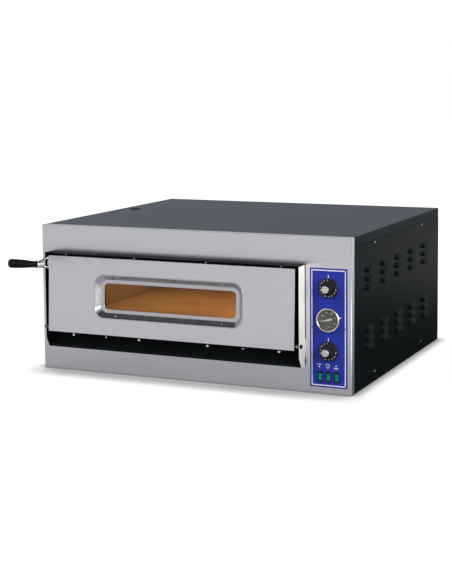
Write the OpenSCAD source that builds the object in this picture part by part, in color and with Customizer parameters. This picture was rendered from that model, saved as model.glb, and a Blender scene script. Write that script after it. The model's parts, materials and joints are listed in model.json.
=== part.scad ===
// Single-deck electric deck oven. Millimetres, +Z up, front towards -Y, controls towards +X.
// The origin is the middle of the face that it stands on.

/* [Body] */
// Distance from the body's left side to the hood
left_border = 33.5; // [20:0.5:80]
// Distance from the hood to the control plate
panel_gap = 12.5; // [10:0.5:40]
// Distance from the control plate to the body's right side
right_border = 11; // [9:0.5:40]
// Depth of the body behind the chamber
rear_bay = 145; // [120:1:220]
// Height of the floor pan's underside
under_h = 101.5; // [90:0.5:160]
// Height of the body above the chamber's ceiling
head_h = 109; // [104:0.5:160]
// Thickness of the outer sheets
sheet = 1.5; // [1.2:0.1:1.8]
// Open joint between two neighbouring panels
seam = 1.5; // [1:0.1:2.5]
// Depth of the fascia's folded edge
fascia_return = 20; // [16:1:26]
// Height of the top cover's side flange
cover_flange = 23; // [20:1:26]
// Height of the base tray's flange
tray_flange = 19.5; // [17:0.5:24]
// Height of the hidden lips that the panels screw to
lip_h = 17; // [15:1:20]

/* [Panel screws] */
// Distance between a side panel's two columns of screws
side_screw_span = 428; // [400:1:460]
// Distance of a panel screw from the panel's edge
screw_inset = 6.5; // [6:0.5:8]
// Radius of a panel screw's head
screw_head_r = 4; // [3.5:0.1:4.5]
// Radius of a panel screw's shank
screw_r = 2; // [1.6:0.1:2.2]
// Clearance of a screw in its hole
screw_clear = 0.2; // [0.15:0.05:0.4]

/* [Louvres] */
// Length of one louvre
louvre_l = 80; // [60:1:100]
// Height of one louvre
louvre_h = 16.5; // [13:0.5:18]
// How far a louvre stands out
louvre_out = 7.5; // [5:0.5:9]
// Thickness of a louvre's wall
louvre_t = 1.2; // [1:0.1:1.5]
// Distance between two columns of louvres
louvre_pitch = 127; // [115:1:135]
// Distance between two louvres of a column
louvre_step = 23; // [21:0.5:26]
// Distance of the upper louvres' middle below the top
louvre_drop = 116; // [100:1:130]
// Height of the middle of the lower louvres
louvre_low = 127; // [115:1:140]

/* [Chamber] */
// Inner width of the baking chamber
chamber_w = 620; // [540:1:900]
// Inner depth of the baking chamber
chamber_d = 620; // [540:1:900]
// Height of the baking chamber over its floor
chamber_h = 140; // [125:1:180]
// Distance from the fascia's front to the chamber
mouth_d = 25; // [22:1:32]
// Thickness of the refractory floor slabs
slab_t = 18; // [14:1:20]
// Height of the bay under the slabs
bay_h = 30; // [26:1:34]
// Thickness of the chamber's sheets
liner = 1.5; // [1.2:0.1:2]
// Thickness of the mouth frame
mouth_t = 3; // [2:0.5:4]
// Width of the mouth frame's front flange
mouth_flange = 12; // [10:1:14]
// Thickness of the left and rear blankets of mineral wool
wool_t = 30; // [24:1:34]
// Thickness of the wool on the ceiling
wool_top = 78; // [50:1:85]
// Width of one rail under the chamber
rail_w = 28; // [22:1:34]
// Distance of the outer slab ribs from the chamber's walls
rib_inset = 15; // [8:1:30]

/* [Heating] */
// Radius of a tubular heating element
element_r = 4; // [3.2:0.1:4.5]
// Distance between the two legs of an element
element_gap = 70; // [50:1:90]
// Distance between two elements
element_pitch = 190; // [170:1:200]
// Distance of the elements' axes from the ceiling and from the bay's floor
element_z = 12; // [9:0.5:14]
// Clearance of an element in a wall
element_clear = 0.5; // [0.3:0.1:1]
// Distance of the elements' bends from the left wall
element_inset = 25; // [15:1:40]
// Distance of the element hangers from the chamber's middle
hanger_x = 180; // [120:1:220]

/* [Vapour duct] */
// Distance of the duct's axis from the chamber's left wall
duct_out = 49; // [46:1:52]
// Place of the duct along the depth
duct_y = 58; // [40:1:80]
// Inner radius of the duct
duct_r = 17.5; // [14:0.5:18]
// Wall of the duct
duct_t = 1.5; // [1:0.1:2]
// Radius of the duct's bend
duct_bend = 28; // [24:1:30]
// Distance of the duct's inlet below the ceiling
duct_drop = 29; // [24:1:34]

/* [Lamp] */
// Place of the lamp along the depth
lamp_y = -120; // [-150:1:-100]
// Distance of the lamp below the ceiling
lamp_drop = 62; // [55:1:70]
// Inner radius of the lamp's housing
lamp_r = 26; // [22:1:28]
// Depth of the lamp's housing
lamp_d = 48; // [42:1:54]

/* [Hood] */
// Distance from the door's side to the outside of the hood
hinge_gap = 12; // [9:0.5:20]
// How far the hood reaches below the door
hood_under = 46.5; // [42:0.5:52]
// How far the hood reaches above the door
hood_over = 7.5; // [6:0.5:12]
// How far the hood stands out of the fascia
hood_d = 44; // [42:0.5:48]
// Gap between the door's upper edge and the hood's lip
lip_gap = 1; // [1:0.5:4]
// Depth of the chamfer at the cheek's lower corner
cheek_chamfer_y = 15; // [10:1:18]
// Height of the chamfer at the cheek's lower corner
cheek_chamfer_z = 26; // [20:1:30]
// Distance of the cheek covers from the fascia
cheek_gap = 5; // [3:0.5:8]
// Height of the tab that joins a cheek cover to the fascia
cheek_tab_h = 51; // [30:1:60]
// How far the sill's sloping back comes forward
sill_slope = 6; // [4:0.5:8]
// Gap between the sill and the door's lower edge
sill_gap = 3; // [2:0.5:6]
// Height of the sill screws above the hood's underside
sill_screw_up = 31; // [26:1:34]
// Distance between two large sill screws
sill_screw_pitch = 202.7; // [180:1:210]
// Distance between two small screws in the hood's lip
lip_screw_pitch = 209; // [190:1:215]
// How far the lip's screws sit to the right of the hood's middle
lip_screw_shift = 10; // [0:1:14]

/* [Door] */
// How far the door reaches past the chamber at each side
door_lap_side = 49.5; // [40:0.5:60]
// How far the door reaches above the chamber
door_lap_top = 30.5; // [26:0.5:36]
// How far the door reaches below the chamber's floor
door_lap_foot = 36; // [32:0.5:40]
// How far the door's foot stands in front of the hood
door_proud = 5; // [3:0.5:7]
// Angle at which the door's front leans back
door_lean = 2.45; // [2:0.05:3]
// Distance of the door's back from the fascia
door_back = 9; // [8.5:0.1:10]
// How much lower the casing is than the front panel
casing_drop = 2.5; // [2.3:0.1:4]
// Thickness of the door's seal
seal_w = 7; // [5:0.5:7.5]
// Distance of the door's pivot behind the hood's front
pivot_back = 7; // [6:0.5:9]
// Height of the door's pivot above the door's lower edge
pivot_up = 9.5; // [9:0.5:12]
// Radius of the pivot bolt
pivot_r = 4; // [3:0.1:4.2]
// Radius of the pivot bolt's head
pivot_head_r = 6; // [5:0.1:6.5]
// Height of the pivot bolt's head
pivot_head_h = 6; // [4:0.5:7]
// Outer radius of the pivot's spacer
spacer_r = 6.5; // [5.5:0.1:7]
// Radial clearance of a pin that turns in its hole
pin_fit = 0.05; // [0.03:0.01:0.08]
// Clearance of a part that moves past another
run_gap = 0.3; // [0.3:0.05:0.5]

/* [Window] */
// Width of the window frame
window_w = 430; // [400:1:460]
// Height of the window frame
window_h = 114; // [100:1:120]
// Distance of the window's middle above the door's lower edge
window_up = 103.5; // [100:0.5:108]
// Corner radius of the window frame
window_r = 27; // [22:1:32]
// Depth and width of the frame's slope
dish = 12.5; // [9:0.5:14]
// Width of the frame's flat ring
ring_w = 9.5; // [7:0.5:11]
// Thickness of the window frame
frame_t = 1.2; // [1:0.1:1.5]
// Thickness of a pane
glass_t = 4; // [3:0.5:5]
// How far a pane reaches behind its frame
glass_lap = 6; // [4:0.5:8]
// Distance of the frame's screws from the window's middle
frame_screw_x = 156; // [140:1:170]

/* [Handle] */
// Angle at which the handle turns away from the door to the left
handle_splay = 26; // [20:1:32]
// Angle at which the handle rises
handle_pitch = 7.5; // [0:0.5:10]
// Distance of the handle's axis below the door's upper edge
handle_drop = 26; // [24:0.5:32]
// Length of the handle's open bracket
handle_neck = 37; // [30:1:44]
// Length of the grip
grip_l = 92; // [80:1:110]
// Radius of the grip's outer end
grip_r = 12; // [10:0.5:13]
// Radius of the grip's neck
neck_r = 8.5; // [8:0.1:9]
// Radius of the bracket's rods
rod_r = 2.9; // [2.4:0.1:3.2]
// Distance between the rods at the door
rod_spread = 27; // [22:0.5:30]
// How much higher the rods' middle is at the door than the handle's axis
rod_rise = 6.5; // [0:0.5:8]
// Thickness of the bracket's foot plate
foot_t = 2; // [1.5:0.1:3]

/* [Control panel] */
// Distance of the bulkhead from the control plate's left edge
bulkhead_out = 9; // [4:1:12]
// Width of the control plate
panel_w = 100; // [90:1:130]
// Height of the control plate's lower edge
panel_z = 17; // [14:0.5:20]
// Thickness of the control plate
panel_t = 1; // [0.8:0.1:1.5]
// Distance of the rivets from the plate's edges
rivet_inset = 4.5; // [4:0.5:6]
// Radius of a rivet's head
rivet_r = 2; // [1.5:0.1:2.4]
// Distance between a knob and the gauge
control_step = 80.4; // [76:0.1:84]
// Distance of the gauge's middle below the plate's upper edge
gauge_drop = 130.8; // [126:0.1:136]

/* [Knobs] */
// Radius of a knob's skirt
knob_r = 25; // [22:0.5:27]
// Thickness of a knob's skirt
skirt_t = 6; // [5:0.5:8]
// Radius of a knob's grip
knob_grip_r = 14; // [12:0.5:16]
// How far a knob stands out of the control plate
knob_out = 27; // [22:0.5:30]
// Radius of a knob's cap
cap_r = 10.4; // [9:0.1:11]
// Radius of a thermostat's spindle
spindle_r = 3; // [2.5:0.1:3.5]
// Width and height of a thermostat
thermostat_w = 42; // [38:1:46]
// Depth of a thermostat
thermostat_d = 32; // [28:1:36]

/* [Gauge] */
// Outer radius of the gauge's bezel
gauge_r = 30; // [28:0.5:32]
// Width of the bezel's ring
bezel_w = 3.5; // [3:0.5:4]
// How far the bezel stands out of the control plate
bezel_out = 6; // [5:0.5:8]
// Depth of the gauge's case behind the control plate
case_d = 26; // [22:1:30]
// Length of the needle's pointer
needle_l = 18.5; // [16:0.5:20]
// Length of the needle's tail
needle_tail = 8; // [6:0.5:9]
// Angle of the needle at rest, from the +X side, against the clock
needle_angle = 194; // [185:1:215]

/* [Switches] */
// Distance between two switches
switch_pitch = 22.3; // [21:0.1:24]
// Height of the switches' middle above the plate's lower edge
switch_up = 28; // [24:0.5:31]
// Width of a switch's bezel
switch_w = 14; // [13:0.1:15]
// Height of a switch's bezel
switch_h = 28; // [26:0.1:29]
// How far a switch's bezel stands out
switch_out = 2; // [1.5:0.1:3]
// Depth of a switch behind the control plate
switch_d = 24; // [20:1:28]
// Width of a rocker
rocker_w = 8.8; // [8:0.1:9.4]
// Height of a rocker
rocker_h = 20; // [18:0.1:21]
// How far a rocker's edge stands out of its bezel
rocker_out = 2.2; // [1.5:0.1:3]
// Angle through which a rocker tips
rocker_throw = 12; // [8:1:14]

/* [Rear and wiring] */
// Distance of the cable gland and the terminals from the body's right side
inlet_inset = 55; // [45:1:70]
// Height of the cable gland
gland_z = 66; // [60:1:80]
// Radius of the cable that the gland takes
cable_r = 6.5; // [5:0.5:8]
// Width of the terminal block
terminal_w = 60; // [50:1:64]
// Number of terminals
terminals = 5; // [3:1:6]
// Distance of a group of vent slots from the body's middle
vent_x = 230; // [180:1:280]
// Distance of the lowest vent slot below the cover's flange
vent_drop = 127; // [115:1:150]
// Length of a vent slot
vent_l = 100; // [60:1:120]

/* [Hidden] */
$fn = 48;

// Colours, as the photograph shows them
steel = [0.72, 0.71, 0.74];
dark_sheet = [0.17, 0.20, 0.21];
slate = [0.34, 0.37, 0.41];
black = [0.06, 0.07, 0.07];
blue = [0.16, 0.21, 0.55];
white = [0.86, 0.86, 0.84];
clay = [0.60, 0.42, 0.26];
wool = [0.72, 0.66, 0.50];
chrome = [0.80, 0.80, 0.83];
brass = [0.60, 0.50, 0.28];
green = [0.03, 0.45, 0.41];
clear = [0.75, 0.85, 0.85, 0.35];

// The baking chamber and the door in height
pan_z = under_h;
bay_z = pan_z + liner;
slab_z = bay_z + bay_h;
floor_z = slab_z + slab_t;
ceiling_z = floor_z + chamber_h;
door_z = floor_z - door_lap_foot;
door_top = ceiling_z + door_lap_top;
hood_z = door_z - hood_under;
hood_top = door_top + hood_over;
body_h = ceiling_z + head_h;

// The body's faces
door_w = chamber_w + 2 * door_lap_side;
hood_w = door_w + 2 * hinge_gap;
body_w = left_border + hood_w + panel_gap + panel_w + right_border;
body_d = mouth_d + chamber_d + rear_bay;
half_w = body_w / 2;
front_y = -body_d / 2;
back_y = body_d / 2;
inner_y = front_y + sheet;
seam_y = front_y + fascia_return + seam;
tray_lip_z = tray_flange + lip_h;
cover_z = body_h - cover_flange;
cover_lip_z = cover_z - lip_h;
panel_low_z = tray_flange + seam;
panel_high_z = cover_z - seam;
screw_zs = [panel_low_z + screw_inset, panel_high_z - screw_inset];
screw_hole_r = screw_r + screw_clear;
screw_head_h = 2.4;
small_screw_r = 1.2;
louvre_high = body_h - louvre_drop;
vent_rows = 8;
vent_step = 12;
vent_slot_h = 5;
vent_z = cover_z - vent_drop;
inlet_x = half_w - inlet_inset;

// The chamber in width and depth
door_x = -half_w + left_border + hood_w / 2;
chamber_x0 = door_x - chamber_w / 2;
chamber_x1 = door_x + chamber_w / 2;
chamber_y0 = front_y + mouth_d;
chamber_y1 = chamber_y0 + chamber_d;
panel_x = half_w - right_border - panel_w / 2;
bulkhead_x = panel_x - panel_w / 2 - bulkhead_out;
upper_element_z = ceiling_z - element_z;
lower_element_z = bay_z + element_z;
element_x0 = chamber_x0 + element_inset;
element_ys = [for (i = [-1:1]) chamber_y0 + chamber_d / 2 + i * element_pitch];
rib_t = 3;
rib_xs = [chamber_x0 + rib_inset, door_x, chamber_x1 - rib_inset];
hanger_w = 16;
hanger_xs = [door_x - hanger_x, door_x + hanger_x];
terminal_l = 12;
terminal_past = 14;

// The vapour duct and the lamp
duct_x = chamber_x0 - duct_out;
duct_z = ceiling_z - duct_drop;
duct_outer_r = duct_r + duct_t;
lamp_z = ceiling_z - lamp_drop;
lamp_wall = 2;

// The hood and the pivots
hood_x0 = door_x - hood_w / 2;
hood_x1 = door_x + hood_w / 2;
hood_front = front_y - hood_d;
hood_lip = hood_over - lip_gap;
sill_h = hood_under - sheet - sill_gap;
pivot_front = hood_front + pivot_back;
pivot_z = door_z + pivot_up;
screw_row_z = hood_z + sill_screw_up;

// The door: its front leans back and its back stands upright
door_foot = hood_d + door_proud;
casing_top = door_top - casing_drop;
casing_z = door_z + sheet;
door_back_y = front_y - door_back;
casing_back_y = door_back_y - sheet;
window_z = door_z + window_up;
door_x0 = door_x - door_w / 2;
door_x1 = door_x + door_w / 2;
function face_y(z) = front_y - door_foot + (z - door_z) * tan(door_lean);

// The window, from its outer edge to its opening
dish_w = window_w - 2 * dish;
dish_h = window_h - 2 * dish;
dish_r = window_r - dish;
opening_w = dish_w - 2 * ring_w;
opening_h = dish_h - 2 * ring_w;
opening_r = 9;
frame_lip = 3;
frame_lip_t = 0.6;
frame_screw_r = 1.1;
frame_screw_seat = 0.05;
dish_slice = 0.1;
wool_gap = 0.3;
pane_w = opening_w + 2 * glass_lap;
pane_h = opening_h + 2 * glass_lap;

// The handle: where its axis meets the door, and which way it goes
handle_root = [door_x0 + 1.5, face_y(door_top - handle_drop) - 1, door_top - handle_drop];
handle_dir = [-sin(handle_splay) * cos(handle_pitch), -cos(handle_splay) * cos(handle_pitch),
              sin(handle_pitch)];
neck_point = handle_root + handle_neck * handle_dir;
neck_disc = 4;
grip_core_r = 4;
grip_core_l = 30;
foot_y0 = front_y - hood_d;

// The control panel
panel_y = front_y - panel_t;
panel_h = door_top - panel_z;
gauge_z = panel_z + panel_h - gauge_drop;
switch_z = panel_z + switch_up;
knob_zs = [gauge_z + control_step, gauge_z - control_step];
boss_r = 8;
spindle_in = 19;
spindle_grip = 15;
bezel_seat = 3;
probe_in = 60;
probe_step = 20;
probe_drop = 38;
probe_up = 55;
probe_clear = 0.5;
probe_aside = 10;
bulb_l = 38;
case_r = gauge_r - bezel_seat;
dial_r = gauge_r - bezel_w;
dial_t = 1;
gauge_glass_t = 0.8;
needle_t = 0.5;
switch_xs = [for (i = [-1:1]) panel_x + i * switch_pitch];
switch_cut = [switch_w - 1.5, switch_h - 3];
rocker_axis_y = panel_y + 6;
rocker_pin_r = 1.2;

// ---- shapes that several parts use ----

// A box between two corners
module block(a, b) { translate(a) cube(b - a); }

// A straight round bar between two points
module bar(p, q, r) {
    d = q - p;
    translate(p) rotate([0, acos(d[2] / norm(d)), atan2(d[1], d[0])]) cylinder(h = norm(d), r = r);
}

// An outline drawn in depth and height, made w wide along X
module along_x(w) { rotate([90, 0, 90]) linear_extrude(w) children(); }

// An outline drawn in width and height, made thick from y0 to y1
module along_y(y0, y1) { translate([0, y1, 0]) rotate([90, 0, 0]) linear_extrude(y1 - y0) children(); }

// A rectangle with round corners about the origin
module round_rect(w, h, r) {
    square([w - 2 * r, h], center = true);
    square([w, h - 2 * r], center = true);
    for (x = [-1, 1], y = [-1, 1]) translate([x * (w / 2 - r), y * (h / 2 - r)]) circle(r);
}

// Both side walls and the rear wall of the body, inset from its outer faces
module body_wall(inset, t, z0, z1, y0) {
    x = half_w - inset;
    y = back_y - inset;
    difference() {
        block([-x, y0, z0], [x, y, z1]);
        block([-x + t, y0 - 1, z0 - 1], [x - t, y - t, z1 + 1]);
    }
}

// A screw whose head stands on z = 0
module screw(head_r, head_h, r, length) {
    cylinder(h = head_h * 0.6, r = head_r);
    translate([0, 0, head_h * 0.6]) cylinder(h = head_h * 0.4, r1 = head_r, r2 = head_r * 0.7);
    translate([0, 0, -length]) cylinder(h = length + 0.1, r = r);
}

// The places of the screws, with the screw's head towards the outside
module at_side_screws(side) {
    for (y = [-1, 1], z = screw_zs)
        translate([side * half_w, y * side_screw_span / 2, z]) rotate([0, side * 90, 0]) children();
}
module at_rear_screws() {
    for (x = [-0.85, 0, 0.85], z = screw_zs)
        translate([x * half_w, back_y, z]) rotate([-90, 0, 0]) children();
}
module at_sill_screws() {
    for (i = [-3, -2, -1, 1, 2, 3])
        translate([door_x + i * sill_screw_pitch / 2, sill_y(screw_row_z), screw_row_z])
            rotate([90 - atan(sill_slope / sill_h), 0, 0])
                if (i % 2 != 0) children(0); else children(1);
}
module at_lip_screws() {
    for (i = [-1.5:1.5])
        translate([door_x + lip_screw_shift + i * lip_screw_pitch, hood_front, hood_top - hood_lip / 2])
            rotate([90, 0, 0]) children();
}
module at_rivets() {
    for (x = [-1, 1], z = [-1:1])
        translate([panel_x + x * (panel_w / 2 - rivet_inset), panel_y,
                   panel_z + panel_h / 2 + z * (panel_h / 2 - rivet_inset)])
            rotate([90, 0, 0]) children();
}
module at_frame_screws() {
    for (x = [-1, 1], z = [-1, 1])
        at_window() translate([x * frame_screw_x, (dish - dish_slice) / 2, z * (window_h - dish) / 2])
            rotate([90 + z * 45, 0, 0]) children();
}
module screw_hole() { translate([0, 0, -20]) cylinder(h = 30, r = screw_hole_r); }

// The middle of the window, in the plane of the leaning door
module at_window() {
    translate([door_x, face_y(window_z), window_z]) rotate([-door_lean, 0, 0]) children();
}

// Front face of the sill's sloping back at a height
function sill_y(z) = front_y - sheet - sill_slope * (hood_z + sheet + sill_h - z) / sill_h;

// ---- body ----

module base_tray() color(dark_sheet) difference() {
    union() {
        block([-half_w + sheet, inner_y, 0], [half_w - sheet, back_y, sheet]);
        body_wall(0, sheet, 0, tray_flange, seam_y);
        body_wall(0, 2 * sheet, tray_flange - sheet, tray_flange, seam_y);
        body_wall(sheet, sheet, tray_flange - sheet, tray_lip_z, inner_y);
        block([-half_w + 2 * sheet, inner_y, 0], [half_w - 2 * sheet, inner_y + sheet, tray_lip_z]);
    }
    // A notch in the front lip for the controls
    block([panel_x - panel_w / 2, inner_y - 1, panel_z],
          [panel_x + panel_w / 2, inner_y + sheet + 0.1, tray_lip_z + 1]);
    for (side = [-1, 1]) at_side_screws(side) screw_hole();
    at_rear_screws() screw_hole();
}

module front_fascia() color(steel) difference() {
    union() {
        block([-half_w, front_y, 0], [half_w, inner_y, body_h]);
        block([-half_w, front_y, body_h - sheet], [half_w, front_y + fascia_return, body_h]);
        for (x = [-half_w, half_w - sheet])
            block([x, front_y, 0], [x + sheet, front_y + fascia_return, body_h]);
    }
    block([chamber_x0 - mouth_t, front_y - 1, slab_z - mouth_t],
          [chamber_x1 + mouth_t, inner_y + 1, ceiling_z + mouth_t]);
    at_knobs() translate([0, 0, -5]) cylinder(h = 10, r = boss_r);
    at_gauge() translate([0, 0, -5]) cylinder(h = 10, r = case_r);
    switch_holes(front_y - 1, inner_y + 1);
    at_rivets() screw_hole_small();
    at_sill_screws() { screw_hole(); screw_hole(); }
}

module top_cover() color(slate) difference() {
    union() {
        block([-half_w, seam_y, body_h - sheet], [half_w, back_y, body_h]);
        body_wall(0, sheet, cover_z, body_h, seam_y);
        body_wall(0, 2 * sheet, cover_z, cover_z + sheet, seam_y);
        body_wall(sheet, sheet, cover_lip_z, cover_z + sheet, inner_y);
        block([-half_w + 2 * sheet, inner_y, body_h - 2 * sheet],
              [half_w - 2 * sheet, seam_y + sheet, body_h - sheet]);
    }
    translate([duct_x, duct_y, body_h - 5]) cylinder(h = 10, r = duct_outer_r);
    for (side = [-1, 1]) at_side_screws(side) screw_hole();
    at_rear_screws() screw_hole();
}

// The bulge of one louvre: a slice of a cylinder with sloping ends, open at its foot
module louvre_form(shrink) {
    arc_x = (louvre_h * louvre_h - louvre_out * louvre_out) / (2 * louvre_out);
    arc_r = arc_x + louvre_out;
    half_l = louvre_l / 2 - shrink;
    intersection() {
        translate([-arc_x, louvre_l, 0]) rotate([90, 0, 0])
            cylinder(h = 2 * louvre_l, r = arc_r - shrink);
        translate([0, 0, -1]) linear_extrude(louvre_h + 1)
            polygon([[-5, -half_l], [0, -half_l], [arc_r, -half_l + arc_r * 1.3],
                     [arc_r, half_l - arc_r * 1.3], [0, half_l], [-5, half_l]]);
        children();
    }
}
module louvre_outside() louvre_form(0) translate([-sheet, -louvre_l, 0]) cube([50, 2 * louvre_l, 50]);
module louvre_inside() louvre_form(louvre_t) union() {
    translate([-3, -louvre_l, 0]) cube([50, 2 * louvre_l, 50]);
    translate([0, -louvre_l, -1]) cube([50, 2 * louvre_l, 2]);
}
module at_louvres()
    for (column = [-2:2], group = [louvre_low, louvre_high], row = [-1:1])
        translate([half_w, column * louvre_pitch, group + row * louvre_step - louvre_h / 2]) children();

module side_panel() difference() {
    union() {
        block([half_w - sheet, seam_y, panel_low_z], [half_w, back_y, panel_high_z]);
        block([half_w - 2 * sheet, inner_y + seam, tray_lip_z + seam],
              [half_w - sheet, seam_y + sheet, cover_lip_z - seam]);
        at_louvres() louvre_outside();
    }
    at_louvres() louvre_inside();
    at_side_screws(1) screw_hole();
}
module left_side_panel() color(dark_sheet) mirror([1, 0, 0]) side_panel();
module right_side_panel() color(dark_sheet) side_panel();

module rear_panel() color(dark_sheet) difference() {
    x = half_w - sheet - seam / 3;
    block([-x, back_y - sheet, panel_low_z], [x, back_y, panel_high_z]);
    at_rear_screws() screw_hole();
    at_gland() translate([0, 0, -10]) cylinder(h = 20, r = gland_r());
    for (column = [-1, 1], row = [0:vent_rows - 1])
        translate([column * vent_x - vent_l / 2, back_y - 5, vent_z + row * vent_step])
            cube([vent_l, 10, vent_slot_h]);
}

module panel_screws() color(steel) {
    for (side = [-1, 1]) at_side_screws(side) screw(screw_head_r, screw_head_h, screw_r, 8);
    at_rear_screws() screw(screw_head_r, screw_head_h, screw_r, 8);
}

// ---- chamber ----

// The holes that the element legs need in every wall that they cross
module element_holes(z) {
    for (y = element_ys, s = [-1, 1])
        translate([element_x0, y + s * element_gap / 2, z]) rotate([0, 90, 0])
            cylinder(h = body_w, r = element_r + element_clear);
}
module probe_holes() for (p = probes())
    translate([chamber_x1 - 1, p[0], p[2]]) rotate([0, 90, 0])
        cylinder(h = bulkhead_x - chamber_x1 + 2 * liner + 1, r = probe_r() + probe_clear);

module chamber_side_walls() color(steel) difference() {
    union() {
        block([chamber_x0 - liner, chamber_y0, bay_z], [chamber_x0, chamber_y1, ceiling_z]);
        block([chamber_x1, chamber_y0, bay_z], [chamber_x1 + liner, chamber_y1, ceiling_z]);
    }
    element_holes(upper_element_z);
    element_holes(lower_element_z);
    probe_holes();
    at_duct_mouth() translate([0, 0, -1]) cylinder(h = liner + 2, r = duct_outer_r);
    at_lamp() translate([0, 0, -1]) cylinder(h = liner + 2, r = lamp_r);
}

module chamber_rear_wall() color(steel)
    block([chamber_x0 - liner, chamber_y1, bay_z], [chamber_x1 + liner, chamber_y1 + liner, ceiling_z]);

module chamber_ceiling() color(steel)
    block([chamber_x0 - liner, chamber_y0, ceiling_z],
          [chamber_x1 + liner, chamber_y1 + liner, ceiling_z + liner]);

// The floor pan with the three ribs that carry the slabs
module chamber_floor_pan() color(steel) difference() {
    union() {
        block([chamber_x0 - liner, chamber_y0, pan_z], [chamber_x1 + liner, chamber_y1 + liner, bay_z]);
        for (x = rib_xs)
            block([x - rib_t / 2, chamber_y0 + 4, bay_z - 0.5], [x + rib_t / 2, chamber_y1 - 4, slab_z]);
    }
    element_holes(lower_element_z);
}

module mouth_frame() color(steel) difference() {
    x0 = chamber_x0 - mouth_t;
    x1 = chamber_x1 + mouth_t;
    z0 = slab_z - mouth_t;
    z1 = ceiling_z + mouth_t;
    union() {
        block([x0, front_y - sheet, z0], [x1, chamber_y0, z1]);
        block([x0 - mouth_flange, front_y - sheet, z0 - mouth_flange],
              [x1 + mouth_flange, front_y, z1 + mouth_flange]);
    }
    block([chamber_x0, front_y - 5, floor_z], [chamber_x1, chamber_y0 + 5, ceiling_z]);
    block([chamber_x0, front_y, slab_z], [chamber_x1, chamber_y0 + 5, floor_z - mouth_t]);
}

// Two slabs side by side
module refractory_slabs() color(clay) for (side = [0, 1]) {
    w = chamber_w / 2 - 1.5;
    x = side == 0 ? chamber_x0 + 1 : door_x + 0.5;
    block([x, chamber_y0 + 0.5, slab_z], [x + w, chamber_y1 - 1, floor_z]);
}

// One hairpin: two legs joined by a half-turn, with its ends past the bulkhead
module hairpin(z) {
    for (y = element_ys) translate([element_x0, y, z]) {
        for (s = [-1, 1]) {
            translate([element_gap / 2, s * element_gap / 2, 0]) rotate([0, 90, 0])
                cylinder(h = bulkhead_x - element_x0 - element_gap / 2 + terminal_past, r = element_r);
            translate([bulkhead_x - element_x0 + terminal_past, s * element_gap / 2, 0]) rotate([0, 90, 0])
                cylinder(h = terminal_l, r = element_r / 2);
        }
        translate([element_gap / 2, 0, 0]) rotate([0, 0, 90]) rotate_extrude(angle = 180)
            translate([element_gap / 2, 0]) circle(element_r);
    }
}
module upper_elements() color("gray") hairpin(upper_element_z);
module lower_elements() color("gray") hairpin(lower_element_z);

module element_hangers() color(steel) difference() {
    for (x = hanger_xs, y = element_ys)
        block([x - 1, y - element_gap / 2 - hanger_w / 2, upper_element_z - element_r - 2],
              [x + 1, y + element_gap / 2 + hanger_w / 2, ceiling_z]);
    element_holes(upper_element_z);
}

module insulation_blankets() color(wool) {
    x0 = chamber_x0 - liner;
    x1 = chamber_x1 + liner;
    y1 = chamber_y1 + liner;
    block([x0, chamber_y0, ceiling_z + liner], [x1, y1, ceiling_z + liner + wool_top]);
    block([x0 + rail_w + 2, chamber_y0, sheet], [x1 - rail_w - 2, y1, pan_z]);
    block([x0, y1, pan_z], [x1, y1 + wool_t, ceiling_z]);
    difference() {
        block([x0 - wool_t, chamber_y0, pan_z], [x0, y1, ceiling_z]);
        translate([x0 - wool_t - 1, duct_y - duct_outer_r - 1, duct_z - duct_outer_r - 1])
            cube([wool_t + 2, 2 * duct_outer_r + 2, duct_drop + duct_outer_r + 2]);
    }
    difference() {
        block([x1, chamber_y0, pan_z], [bulkhead_x, y1, ceiling_z]);
        element_holes(upper_element_z);
        element_holes(lower_element_z);
        probe_holes();
        at_lamp() translate([0, 0, -1]) cylinder(h = lamp_d + liner + 1.5, r = lamp_r + lamp_wall + 0.5);
    }
}

module chamber_rails() color(steel) for (x = [chamber_x0 - liner, chamber_x1 + liner - rail_w])
    difference() {
        block([x, chamber_y0 + 5, sheet], [x + rail_w, chamber_y1 - 5, pan_z]);
        block([x + liner, chamber_y0, sheet + liner], [x + rail_w + 1, chamber_y1, pan_z - liner]);
    }

module control_bulkhead() color(steel) difference() {
    block([bulkhead_x, inner_y + sheet, sheet],
          [bulkhead_x + liner, back_y - 2 * sheet - seam, cover_lip_z]);
    element_holes(upper_element_z);
    element_holes(lower_element_z);
    probe_holes();
}

// ---- vapour duct and lamp ----

// The duct's inlet in the left wall, looking out of the chamber
module at_duct_mouth() translate([chamber_x0, duct_y, duct_z]) rotate([0, -90, 0]) children();

module vapour_duct() color(steel) {
    straight_z = duct_z + duct_bend;
    translate([duct_x, duct_y, straight_z]) tube(body_h - straight_z);
    translate([duct_x + duct_bend, duct_y, straight_z]) rotate([90, 0, 0]) rotate([0, 0, 180])
        rotate_extrude(angle = 90) translate([duct_bend, 0]) difference() {
            circle(duct_outer_r);
            circle(duct_r);
        }
    translate([duct_x + duct_bend, duct_y, duct_z]) rotate([0, 90, 0])
        tube(chamber_x0 - duct_x - duct_bend);
}
module tube(l) difference() {
    cylinder(h = l, r = duct_outer_r);
    translate([0, 0, -1]) cylinder(h = l + 2, r = duct_r);
}

// The lamp's axis in the right wall, looking out of the chamber
module at_lamp() translate([chamber_x1, lamp_y, lamp_z]) rotate([0, 90, 0]) children();

module lamp_housing() color(steel) at_lamp() translate([0, 0, liner]) difference() {
    cylinder(h = lamp_d, r = lamp_r + lamp_wall);
    translate([0, 0, -1]) cylinder(h = lamp_d + 1 - lamp_wall, r = lamp_r);
}
module lamp_bulb() color(white) at_lamp() translate([0, 0, liner]) {
    translate([0, 0, 20]) sphere(r = 12);
    translate([0, 0, 28]) cylinder(h = lamp_d - lamp_wall - 28, r = 9);
}
module lamp_glass() color(clear) at_lamp() {
    translate([0, 0, -3]) cylinder(h = 3, r = lamp_r + 4);
    cylinder(h = liner + 4, r = lamp_r - run_gap);
}

// ---- hood ----

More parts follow.
